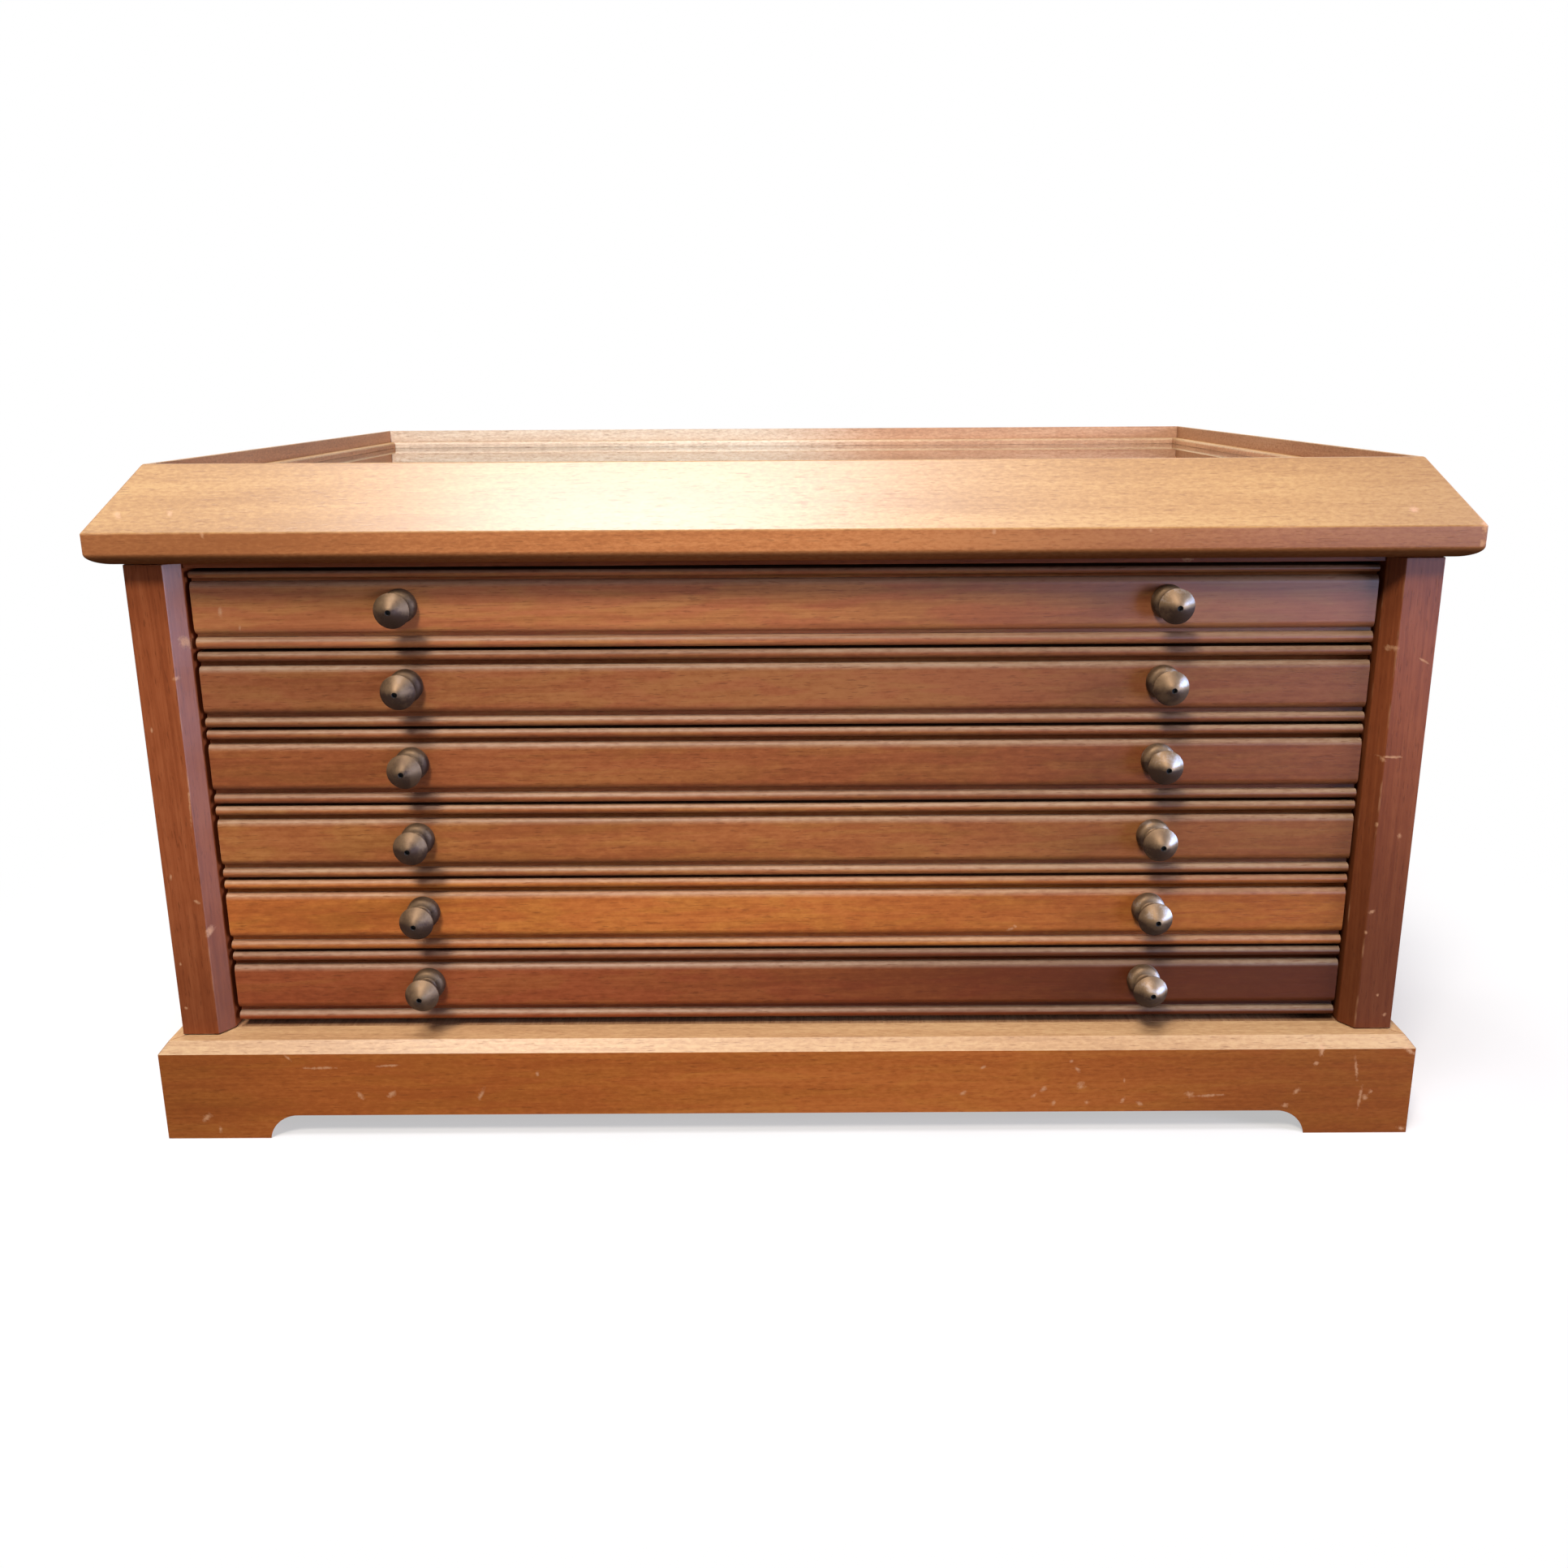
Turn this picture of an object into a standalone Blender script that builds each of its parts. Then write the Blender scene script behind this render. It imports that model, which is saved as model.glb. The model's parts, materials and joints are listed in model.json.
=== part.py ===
"""Coin cabinet: six shallow coin drawers under a hinged, glazed display lid, on a bracket plinth.

Metres, +Z up, front towards -Y. The origin is on the floor, under the middle of the whole cabinet.
"""

import math

import bmesh
import bpy

# Clearances between pieces.
FIT = 0.0003
MERGE = 0.00001

# Edges of turned pieces that bend less than this are shaded smooth.
SMOOTH_ANGLE = math.radians(40)

# Lid: a mitred frame with an ovolo under its edge, a steep outer slope and a thin ridge.
LID_WIDTH = 0.430
LID_DEPTH = 0.320
LID_OVERHANG = 0.0082
LID_EDGE_HEIGHT = 0.0101
LID_OVOLO_WIDTH = 0.0078
LID_OVOLO_HEIGHT = 0.0048
LID_SLOPE_RUN = 0.0152
LID_SLOPE_RISE = 0.0199
LID_RIDGE_FLAT = 0.0012
GLASS_LEDGE = 0.0056
GLASS_THICKNESS = 0.003
GLASS_DROP = 0.0083
GLAZING_BEAD = 0.0025
FELT_THICKNESS = 0.0012
FELT_MARGIN = 0.0015

# Carcass.
STILE_FACE = 0.0123
STILE_CHAMFER = 0.0038
STILE_DEPTH = 0.020
BACK_THICKNESS = 0.009
RUNNER_BOARD_THICKNESS = 0.0035
TOP_RAIL_HEIGHT = 0.0019
TOP_RAIL_GAP = 0.0012

# Plinth with bracket feet.
PLINTH_HEIGHT = 0.0355
PLINTH_THICKNESS = 0.020
PLINTH_FRONT_OVERHANG = 0.0071
PLINTH_SIDE_OVERHANG = 0.0064
PLINTH_CHAMFER_RUN = 0.0031
PLINTH_CHAMFER_DROP = 0.0039
PLINTH_REBATE = 0.006
BASE_THICKNESS = 0.009
FOOT_WIDTH = 0.0356
ARCH_HEIGHT = 0.0086
ARCH_RADIUS = 0.0073

# Drawer fronts, numbered from the top.
DRAWER_RECESS = 0.0058
DRAWER_FLOOR_GAP = 0.0027
DRAWER_FRONT_HEIGHT = 0.0250
DRAWER_FRONT_THICKNESS = 0.012
DRAWER_GAP = 0.0010
DRAWER_SIDE_GAP = 0.0016
FRONT_BEAD = 0.0031
QUIRK_WIDTH = 0.0017
FIELD_ROUND = 0.0022

# Trays, on runners that reach into grooves along the tray sides.
TRAY_RISE = 0.0012
TRAY_TOP_DROP = 0.0028
TRAY_SIDE_THICKNESS = 0.0085
TRAY_BACK_THICKNESS = 0.008
TRAY_BOTTOM_THICKNESS = 0.0032
TRAY_BACK_ROOM = 0.012
TRAY_HEADROOM = 0.0008
RUNNER_HEIGHT = 0.005
RUNNER_REACH = 0.004

# Coin boards: one pocket size for each drawer, larger towards the bottom.
POCKET_DIAMETERS = (0.040, 0.040, 0.046, 0.046, 0.054, 0.054)
POCKET_DEPTH = 0.0028
POCKET_FLOOR = 0.0022
POCKET_WEB = 0.014
POCKET_SIDES = 12

# Turned knobs, set in from the ends of the drawer front.
KNOB_INSET = 0.0667
KNOB_RISE = 0.0014
KNOB_LENGTH = 0.0150
KNOB_HEAD_DIAMETER = 0.0113
KNOB_RIM_HEIGHT = 0.0088
KNOB_RIM_WIDTH = 0.0012
KNOB_TIP_DIAMETER = 0.0018
KNOB_DIMPLE = 0.0006
KNOB_NOSE_BULGE = 1.25
KNOB_NOSE_STEPS = 3
KNOB_NECK_DIAMETER = 0.0060
KNOB_NECK_HEIGHT = 0.0046
KNOB_BASE_DIAMETER = 0.0098
KNOB_BASE_THICKNESS = 0.0016
KNOB_SHANK_DIAMETER = 0.004
KNOB_HOLE_FLOOR = 0.003
KNOB_SIDES = 12

# Lid hinges, set in from the sides of the lid.
HINGE_INSET = 0.085
LEAF_LENGTH = 0.040
LEAF_MARGIN = 0.001
LEAF_THICKNESS = 0.0012
BARREL_RADIUS = 0.0022
BARREL_SIDES = 16
BARREL_GAP = 0.0005
PIN_RADIUS = 0.0009
PIN_HEAD_RADIUS = 0.0016
PIN_HEAD_HEIGHT = 0.0009

# Worked out: widths.
LID_HALF_WIDTH = LID_WIDTH / 2
LID_RIDGE_INNER = LID_SLOPE_RUN + LID_RIDGE_FLAT
LID_RAIL_WIDTH = LID_RIDGE_INNER + GLASS_LEDGE
CARCASS_HALF_WIDTH = LID_HALF_WIDTH - LID_OVERHANG
STILE_WIDTH = STILE_FACE + STILE_CHAMFER
OPENING_HALF_WIDTH = CARCASS_HALF_WIDTH - STILE_WIDTH
SIDE_THICKNESS = STILE_WIDTH - RUNNER_BOARD_THICKNESS - 2 * FIT
SIDE_INNER = CARCASS_HALF_WIDTH - SIDE_THICKNESS
RUNNER_FACE = OPENING_HALF_WIDTH + FIT
PLINTH_HALF_WIDTH = CARCASS_HALF_WIDTH + PLINTH_SIDE_OVERHANG
DRAWER_HALF_WIDTH = OPENING_HALF_WIDTH - DRAWER_SIDE_GAP
RUNNER_TIP = DRAWER_HALF_WIDTH - RUNNER_REACH
KNOB_OFFSET = DRAWER_HALF_WIDTH - KNOB_INSET
HINGE_OFFSET = LID_HALF_WIDTH - HINGE_INSET

# Worked out: heights.
DRAWER_COUNT = len(POCKET_DIAMETERS)
CARCASS_FOOT = PLINTH_HEIGHT + FIT
DRAWER_PITCH = DRAWER_FRONT_HEIGHT + DRAWER_GAP
STACK_BOTTOM = PLINTH_HEIGHT + DRAWER_FLOOR_GAP
STACK_TOP = STACK_BOTTOM + DRAWER_COUNT * DRAWER_PITCH - DRAWER_GAP
CARCASS_TOP = STACK_TOP + TOP_RAIL_GAP + TOP_RAIL_HEIGHT
TOP_BOARD_UNDERSIDE = STACK_TOP - TRAY_TOP_DROP + TRAY_HEADROOM
LID_BOTTOM = CARCASS_TOP + FIT
LID_RAIL_HEIGHT = LID_EDGE_HEIGHT + LID_SLOPE_RISE
GLASS_TOP = LID_BOTTOM + LID_RAIL_HEIGHT - GLASS_DROP
GLASS_BOTTOM = GLASS_TOP - GLASS_THICKNESS
TRAY_HEIGHT = DRAWER_FRONT_HEIGHT - TRAY_RISE - TRAY_TOP_DROP
BOARD_THICKNESS = POCKET_DEPTH + POCKET_FLOOR

# Worked out: depths. The knob tips reach furthest forward and the hinge barrels furthest back.
CARCASS_DEPTH = LID_DEPTH - LID_OVERHANG
HINGE_SETBACK = BARREL_RADIUS + BARREL_GAP
FRONT_REACH = max(LID_OVERHANG, PLINTH_FRONT_OVERHANG, KNOB_LENGTH + FIT - DRAWER_RECESS)
BACK_REACH = CARCASS_DEPTH + HINGE_SETBACK + BARREL_RADIUS
FRONT = (FRONT_REACH - BACK_REACH) / 2
BACK = FRONT + CARCASS_DEPTH
DRAWER_FACE = FRONT + DRAWER_RECESS
INSIDE_FRONT = FRONT + STILE_DEPTH + FIT
INSIDE_BACK = BACK - BACK_THICKNESS - FIT
TRAY_FRONT = DRAWER_FACE + DRAWER_FRONT_THICKNESS + FIT
TRAY_BACK = INSIDE_BACK - TRAY_BACK_ROOM
LID_FRONT = FRONT - LID_OVERHANG
PLINTH_FRONT = FRONT - PLINTH_FRONT_OVERHANG
HINGE_AXIS = (0, BACK + HINGE_SETBACK, (CARCASS_TOP + LID_BOTTOM) / 2)

# How far a cutter runs past the faces that it opens.
OVERCUT = 0.002

# Turns, about Z, of a rail whose section is drawn from the outside in.
TURN_FRONT = math.radians(90)
TURN_LEFT = 0.0
TURN_RIGHT = math.radians(180)
TURN_BACK = math.radians(-90)


def clear_scene():
    for obj in list(bpy.data.objects):
        bpy.data.objects.remove(obj)


def new_collection(name):
    collection = bpy.data.collections.new(name)
    bpy.context.scene.collection.children.link(collection)
    return collection


def finish(name, colour, roughness, metallic=0.0, alpha=1.0):
    """A Principled material."""
    material = bpy.data.materials.new(name)
    material.use_nodes = True
    shader = material.node_tree.nodes["Principled BSDF"]
    shader.inputs["Base Color"].default_value = (*colour, 1.0)
    shader.inputs["Roughness"].default_value = roughness
    shader.inputs["Metallic"].default_value = metallic
    shader.inputs["Alpha"].default_value = alpha
    material.diffuse_color = (*colour, alpha)
    return material


def placed(name, mesh, location, parent, rotation=(0, 0, 0)):
    """A new object at a place in the cabinet, carried by the parent empty."""
    obj = bpy.data.objects.new(name, mesh)
    obj.parent = parent
    carrier = parent.location if parent else (0, 0, 0)
    obj.location = [at - base for at, base in zip(location, carrier)]
    obj.rotation_euler = rotation
    return obj


def piece(name, mesh, material, location, parent=None, rotation=(0, 0, 0)):
    """A piece of the cabinet."""
    obj = placed(name, mesh, location, parent, rotation)
    if not mesh.materials:
        mesh.materials.append(material)
    parts.objects.link(obj)
    return obj


def cutter(name, mesh, location, parent=None, rotation=(0, 0, 0)):
    """A shape that is taken away from, or joined to, a piece."""
    obj = placed(name, mesh, location, parent, rotation)
    obj.hide_render = True
    obj.display_type = "WIRE"
    cutters.objects.link(obj)
    return obj


def combine(target, tool, operation):
    boolean = target.modifiers.new(tool.name, "BOOLEAN")
    boolean.operation = operation
    boolean.solver = "EXACT"
    boolean.object = tool


def carrier_empty(name, location):
    """An empty on a joint's axis, which carries the pieces that move with it."""
    empty = bpy.data.objects.new(name, None)
    empty.location = location
    parts.objects.link(empty)
    return empty


def mesh_from(name, bm):
    mesh = bpy.data.meshes.new(name)
    bm.to_mesh(mesh)
    bm.free()
    return mesh


def add_box(bm, low, high):
    box = bmesh.ops.create_cube(bm, size=1)
    size = [b - a for a, b in zip(low, high)]
    middle = [(a + b) / 2 for a, b in zip(low, high)]
    bmesh.ops.scale(bm, vec=size, verts=box["verts"])
    bmesh.ops.translate(bm, vec=middle, verts=box["verts"])


def add_cylinder(bm, centre, radius, height, sides):
    round_bar = bmesh.ops.create_cone(
        bm, cap_ends=True, segments=sides, radius1=radius, radius2=radius, depth=height
    )
    bmesh.ops.translate(bm, vec=centre, verts=round_bar["verts"])


def boxes_mesh(name, boxes, origin=(0, 0, 0)):
    """Separate boxes, given by their corners in the cabinet, in one mesh about the origin."""
    bm = bmesh.new()
    for low, high in boxes:
        add_box(bm, low, high)
    bmesh.ops.translate(bm, vec=[-at for at in origin], verts=bm.verts)
    return mesh_from(name, bm)


def board(name, low, high, material, parent=None):
    """A square-edged board, given by its corners."""
    middle = [(a + b) / 2 for a, b in zip(low, high)]
    return piece(name, boxes_mesh(name, [(low, high)], middle), material, middle, parent)


def cut_boxes(target, name, boxes, parent=None):
    origin = boxes[0][0]
    combine(target, cutter(name, boxes_mesh(name, boxes, origin), origin, parent), "DIFFERENCE")


def arc(centre, radii, start, end, steps):
    """Points on an ellipse's arc, with the angles in degrees."""
    points = []
    for step in range(steps + 1):
        angle = math.radians(start + (end - start) * step / steps)
        points.append((centre[0] + radii[0] * math.cos(angle), centre[1] + radii[1] * math.sin(angle)))
    return points


def outline_mesh(name, outline, length):
    """A closed outline in the local XY plane, made a solid of that length along local Z."""
    curve = bpy.data.curves.new(name, "CURVE")
    curve.dimensions = "2D"
    curve.fill_mode = "BOTH"
    curve.extrude = length / 2
    spline = curve.splines.new("POLY")
    spline.points.add(len(outline) - 1)
    for point, (x, y) in zip(spline.points, outline):
        point.co = (x, y, 0, 1)
    spline.use_cyclic_u = True
    drawn = bpy.data.objects.new(name, curve)
    cutters.objects.link(drawn)
    depsgraph = bpy.context.evaluated_depsgraph_get()
    mesh = bpy.data.meshes.new_from_object(drawn.evaluated_get(depsgraph))
    bpy.data.objects.remove(drawn)
    bpy.data.curves.remove(curve)
    bm = bmesh.new()
    bm.from_mesh(mesh)
    bmesh.ops.remove_doubles(bm, verts=bm.verts, dist=MERGE)
    bmesh.ops.recalc_face_normals(bm, faces=bm.faces)
    bm.to_mesh(mesh)
    bm.free()
    mesh.materials.clear()
    return mesh


def mitred_rail(name, section, length, material, outer, turn, parent):
    """A rail with its section drawn as (inwards, up) from its outer lower edge."""
    mesh = outline_mesh(name, section, length)
    for vertex in mesh.vertices:
        vertex.co.z = math.copysign(length / 2 - FIT / 2 - vertex.co.x, vertex.co.z)
    return piece(name, mesh, material, outer, parent, (math.radians(90), 0, turn))


def mitred_frame(stem, section, back_section, half_width, front, back, height, material, parent):
    """Four mitred rails round a rectangle, each with its outer edge on it."""
    middle = (front + back) / 2
    sides = {
        "front": ((0, front, height), 2 * half_width, TURN_FRONT),
        "back": ((0, back, height), 2 * half_width, TURN_BACK),
        "left": ((-half_width, middle, height), back - front, TURN_LEFT),
        "right": ((half_width, middle, height), back - front, TURN_RIGHT),
    }
    rails = {}
    for side, (outer, length, turn) in sides.items():
        drawn = back_section if side == "back" else section
        rails[side] = mitred_rail(f"{stem}_{side}", drawn, length, material, outer, turn, parent)
    return rails


def run_out_moulding(back_rail, waste, half_width, height, parent):
    """The waste that makes the side rails' moulding is cut from the back rail's ends as well."""
    for label, side, turn in (("left", -1, TURN_LEFT), ("right", 1, TURN_RIGHT)):
        name = f"{back_rail.name}_{label}_end"
        mesh = outline_mesh(name, waste, 2 * half_width)
        corner = (side * half_width, BACK, height)
        combine(back_rail, cutter(name, mesh, corner, parent, (math.radians(90), 0, turn)), "DIFFERENCE")


def plinth_section(chamfered):
    """Inwards and up: outer face, chamfer, ledge, rebate for the base board, inner face."""
    rebate_start = PLINTH_THICKNESS - PLINTH_REBATE
    rebate_floor = PLINTH_HEIGHT - BASE_THICKNESS - FIT
    return [
        (0, 0),
        *(plinth_chamfer() if chamfered else [(0, PLINTH_HEIGHT)]),
        (rebate_start, PLINTH_HEIGHT),
        (rebate_start, rebate_floor),
        (PLINTH_THICKNESS, rebate_floor),
        (PLINTH_THICKNESS, 0),
    ]


def plinth_chamfer():
    return [(0, PLINTH_HEIGHT - PLINTH_CHAMFER_DROP), (PLINTH_CHAMFER_RUN, PLINTH_HEIGHT)]


def arch_outline(half_length):
    """The space between two bracket feet, from below the floor up, with round upper corners."""
    centre = (ARCH_RADIUS - half_length, ARCH_HEIGHT - ARCH_RADIUS)
    left = arc(centre, (ARCH_RADIUS, ARCH_RADIUS), 180, 90, 5)
    right = [(-x, y) for x, y in reversed(left)]
    return [(-half_length, -OVERCUT), *left, *right, (half_length, -OVERCUT)]


def cut_arch(target, half_length, place, turn):
    name = f"{target.name}_arch"
    mesh = outline_mesh(name, arch_outline(half_length), 2 * (PLINTH_THICKNESS + OVERCUT))
    combine(target, cutter(name, mesh, place, None, (math.radians(90), 0, turn)), "DIFFERENCE")


def build_plinth():
    """Four mitred rails with bracket feet, chamfered except along the back, and the base board."""
    rails = mitred_frame(
        "plinth", plinth_section(True), plinth_section(False), PLINTH_HALF_WIDTH, PLINTH_FRONT, BACK, 0,
        plinth_wood, None,
    )
    above = PLINTH_HEIGHT + OVERCUT
    chamfer = plinth_chamfer()
    waste = [(-OVERCUT, above), (-OVERCUT, chamfer[0][1]), *chamfer, (PLINTH_CHAMFER_RUN, above)]
    run_out_moulding(rails["back"], waste, PLINTH_HALF_WIDTH, 0, None)
    middle = (BACK + PLINTH_FRONT) / 2
    long_arch = PLINTH_HALF_WIDTH - FOOT_WIDTH
    short_arch = (BACK - PLINTH_FRONT) / 2 - FOOT_WIDTH
    cut_arch(rails["front"], long_arch, (0, PLINTH_FRONT, 0), 0)
    cut_arch(rails["back"], long_arch, (0, BACK, 0), 0)
    cut_arch(rails["left"], short_arch, (-PLINTH_HALF_WIDTH, middle, 0), TURN_FRONT)
    cut_arch(rails["right"], short_arch, (PLINTH_HALF_WIDTH, middle, 0), TURN_FRONT)
    rebate_start = PLINTH_THICKNESS - PLINTH_REBATE + FIT
    half_width = PLINTH_HALF_WIDTH - rebate_start
    board(
        "base_board",
        (-half_width, PLINTH_FRONT + rebate_start, PLINTH_HEIGHT - BASE_THICKNESS),
        (half_width, BACK - rebate_start, PLINTH_HEIGHT),
        inner_wood,
    )


def stile_outline(side):
    """The corner post from above: face, inner chamfer and the flank beside the drawers."""
    outer = CARCASS_HALF_WIDTH
    corner = OPENING_HALF_WIDTH + STILE_CHAMFER
    half = [
        (outer, FRONT),
        (corner, FRONT),
        (OPENING_HALF_WIDTH, DRAWER_FACE),
        (OPENING_HALF_WIDTH, FRONT + STILE_DEPTH),
        (outer, FRONT + STILE_DEPTH),
    ]
    return [(side * x, y) for x, y in half]


def runner_outline(side):
    """The runner board seen from the front: a thin board with one rail for each tray."""
    back_face = SIDE_INNER - FIT
    points = [(back_face, CARCASS_FOOT), (RUNNER_FACE, CARCASS_FOOT)]
    for number in range(DRAWER_COUNT, 0, -1):
        low = groove_bottom(number) + FIT
        high = low + RUNNER_HEIGHT
        points += [(RUNNER_FACE, low), (RUNNER_TIP, low), (RUNNER_TIP, high), (RUNNER_FACE, high)]
    top = TOP_BOARD_UNDERSIDE - FIT
    points += [(RUNNER_FACE, top), (back_face, top)]
    return [(side * x, z) for x, z in points]


def top_rail_section():
    """Inwards and up from the carcass top: a thin lip over the top drawer front and a stop behind it."""
    lip = DRAWER_FRONT_THICKNESS + FIT
    depth = STILE_DEPTH - DRAWER_RECESS
    stop = TOP_BOARD_UNDERSIDE - CARCASS_TOP
    return [(0, 0), (0, -TOP_RAIL_HEIGHT), (lip, -TOP_RAIL_HEIGHT), (lip, stop), (depth, stop), (depth, 0)]


def build_carcass():
    height = CARCASS_TOP - CARCASS_FOOT
    post_middle = CARCASS_FOOT + height / 2
    inside_depth = INSIDE_BACK - INSIDE_FRONT
    inside_middle = (INSIDE_BACK + INSIDE_FRONT) / 2
    panel_half = SIDE_INNER - FIT
    for label, side in (("left", -1), ("right", 1)):
        post = outline_mesh(f"{label}_stile", stile_outline(side), height)
        piece(f"{label}_stile", post, carcass_wood, (0, 0, post_middle))
        edges = sorted((side * SIDE_INNER, side * CARCASS_HALF_WIDTH))
        board(
            f"{label}_side",
            (edges[0], INSIDE_FRONT, CARCASS_FOOT),
            (edges[1], BACK, CARCASS_TOP),
            carcass_wood,
        )
        runner = outline_mesh(f"{label}_runner_board", runner_outline(side), inside_depth)
        piece(
            f"{label}_runner_board", runner, inner_wood, (0, inside_middle, 0), None,
            (math.radians(90), 0, 0),
        )
    top_rail = outline_mesh("top_rail", top_rail_section(), 2 * (OPENING_HALF_WIDTH - FIT))
    piece(
        "top_rail", top_rail, carcass_wood, (0, DRAWER_FACE, CARCASS_TOP), None,
        (math.radians(90), 0, TURN_FRONT),
    )
    board(
        "top_board",
        (-panel_half, INSIDE_FRONT, TOP_BOARD_UNDERSIDE),
        (panel_half, INSIDE_BACK, CARCASS_TOP),
        inner_wood,
    )
    felt_inset = LID_RAIL_WIDTH + FELT_MARGIN
    felt_half = LID_HALF_WIDTH - felt_inset
    board(
        "well_felt",
        (-felt_half, LID_FRONT + felt_inset, LID_BOTTOM),
        (felt_half, BACK - felt_inset, LID_BOTTOM + FELT_THICKNESS),
        felt,
    )
    return board(
        "back_panel", (-panel_half, BACK - BACK_THICKNESS, CARCASS_FOOT), (panel_half, BACK, CARCASS_TOP),
        carcass_wood,
    )


def front_bottom(number):
    """Lower edge of a drawer front, counted from the top drawer."""
    return STACK_BOTTOM + (DRAWER_COUNT - number) * DRAWER_PITCH


def groove_bottom(number):
    """Lower face of the groove along a tray's sides."""
    middle = front_bottom(number) + TRAY_RISE + TRAY_HEIGHT / 2
    return middle - RUNNER_HEIGHT / 2 - FIT


def front_section():
    """Drawer front, inwards and up from its lower edge: bead, quirk, field with eased edges, quirk, bead."""
    radius = FRONT_BEAD / 2
    field_low = FRONT_BEAD + QUIRK_WIDTH
    ease = (radius, FIELD_ROUND)
    lower_bead = arc((radius, radius), (radius, radius), -90, -270, 6)
    lower_ease = arc((radius, field_low + FIELD_ROUND), ease, 270, 180, 3)
    lower = lower_bead + lower_ease
    upper = [(x, DRAWER_FRONT_HEIGHT - y) for x, y in reversed(lower)]
    return [(DRAWER_FRONT_THICKNESS, 0), *lower, *upper, (DRAWER_FRONT_THICKNESS, DRAWER_FRONT_HEIGHT)]


def knob_profile():
    """Radius and distance from the drawer front, from the dimpled tip down to the end of the shank."""
    head = KNOB_HEAD_DIAMETER / 2
    neck = KNOB_NECK_DIAMETER / 2
    base = KNOB_BASE_DIAMETER / 2
    tip = KNOB_TIP_DIAMETER / 2
    shank = KNOB_SHANK_DIAMETER / 2
    shank_end = FIT + KNOB_HOLE_FLOOR - DRAWER_FRONT_THICKNESS
    nose = []
    for step in range(KNOB_NOSE_STEPS + 1):
        share = step / KNOB_NOSE_STEPS
        drop = (KNOB_LENGTH - KNOB_RIM_HEIGHT) * share**KNOB_NOSE_BULGE
        nose.append((tip + (head - tip) * share, KNOB_LENGTH - drop))
    rim_back = KNOB_RIM_HEIGHT - KNOB_RIM_WIDTH
    rim_inner = head - KNOB_RIM_WIDTH / 2
    under = arc((rim_inner, KNOB_NECK_HEIGHT), (rim_inner - neck, rim_back - KNOB_NECK_HEIGHT), 90, 180, 3)
    flare = arc((base, KNOB_NECK_HEIGHT), (base - neck, KNOB_NECK_HEIGHT - KNOB_BASE_THICKNESS), 180, 270, 2)
    return [
        (0, KNOB_LENGTH - KNOB_DIMPLE),
        *nose,
        *under,
        *flare[1:],
        (base, 0),
        (shank, 0),
        (shank, shank_end),
        (0, shank_end),
    ]


def turned_mesh(name, profile, sides):
    """A profile of (radius, height) from top to bottom, turned about local Z."""
    bm = bmesh.new()
    verts = [bm.verts.new((radius, 0, height)) for radius, height in profile]
    for upper, lower in zip(verts, verts[1:]):
        bm.edges.new((upper, lower))
    turned = bpy.data.objects.new(name, mesh_from(name, bm))
    cutters.objects.link(turned)
    screw = turned.modifiers.new("turning", "SCREW")
    screw.steps = sides
    screw.render_steps = sides
    screw.use_merge_vertices = True
    screw.merge_threshold = MERGE
    depsgraph = bpy.context.evaluated_depsgraph_get()
    mesh = bpy.data.meshes.new_from_object(turned.evaluated_get(depsgraph))
    bpy.data.objects.remove(turned)
    mesh.shade_smooth()
    mesh.set_sharp_from_angle(angle=SMOOTH_ANGLE)
    return mesh


def pocket_centres(width, depth, diameter):
    """As many rows and columns of pockets as fit with the least web between them, evenly spaced."""
    columns = int((width - POCKET_WEB) / (diameter + POCKET_WEB))
    rows = int((depth - POCKET_WEB) / (diameter + POCKET_WEB))
    centres = []
    for row in range(rows):
        for column in range(columns):
            centres.append((width * ((column + 0.5) / columns - 0.5), depth * ((row + 0.5) / rows - 0.5)))
    return centres


def build_tray(number, slide):
    """Two grooved sides, a back and a bottom; the drawer front closes it."""
    low = front_bottom(number) + TRAY_RISE
    high = low + TRAY_HEIGHT
    tray = board(
        f"drawer_{number}_tray", (-DRAWER_HALF_WIDTH, TRAY_FRONT, low), (DRAWER_HALF_WIDTH, TRAY_BACK, high),
        tray_wood, slide,
    )
    inside = DRAWER_HALF_WIDTH - TRAY_SIDE_THICKNESS
    groove_floor = RUNNER_TIP - FIT
    groove_low = groove_bottom(number)
    groove_high = groove_low + RUNNER_HEIGHT + 2 * FIT
    front = TRAY_FRONT - OVERCUT
    past_back = TRAY_BACK + OVERCUT
    past_side = DRAWER_HALF_WIDTH + OVERCUT
    hollow = (
        (-inside, front, low + TRAY_BOTTOM_THICKNESS),
        (inside, TRAY_BACK - TRAY_BACK_THICKNESS, high + OVERCUT),
    )
    left_groove = ((-past_side, front, groove_low), (-groove_floor, past_back, groove_high))
    right_groove = ((groove_floor, front, groove_low), (past_side, past_back, groove_high))
    cut_boxes(tray, f"drawer_{number}_hollow", [hollow, left_groove, right_groove], slide)


def build_coin_board(number, diameter, slide):
    half_width = DRAWER_HALF_WIDTH - TRAY_SIDE_THICKNESS - FIT
    bottom = front_bottom(number) + TRAY_RISE + TRAY_BOTTOM_THICKNESS + FIT
    top = bottom + BOARD_THICKNESS
    back = TRAY_BACK - TRAY_BACK_THICKNESS - FIT
    coin_board = board(
        f"drawer_{number}_coin_board", (-half_width, TRAY_FRONT, bottom), (half_width, back, top),
        board_wood, slide,
    )
    bm = bmesh.new()
    middle_depth = (TRAY_FRONT + back) / 2
    for x, y in pocket_centres(2 * half_width, back - TRAY_FRONT, diameter):
        add_cylinder(bm, (x, y, 0), diameter / 2, 2 * POCKET_DEPTH, POCKET_SIDES)
    name = f"drawer_{number}_pockets"
    pockets = cutter(name, mesh_from(name, bm), (0, middle_depth, top), slide)
    combine(coin_board, pockets, "DIFFERENCE")


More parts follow.
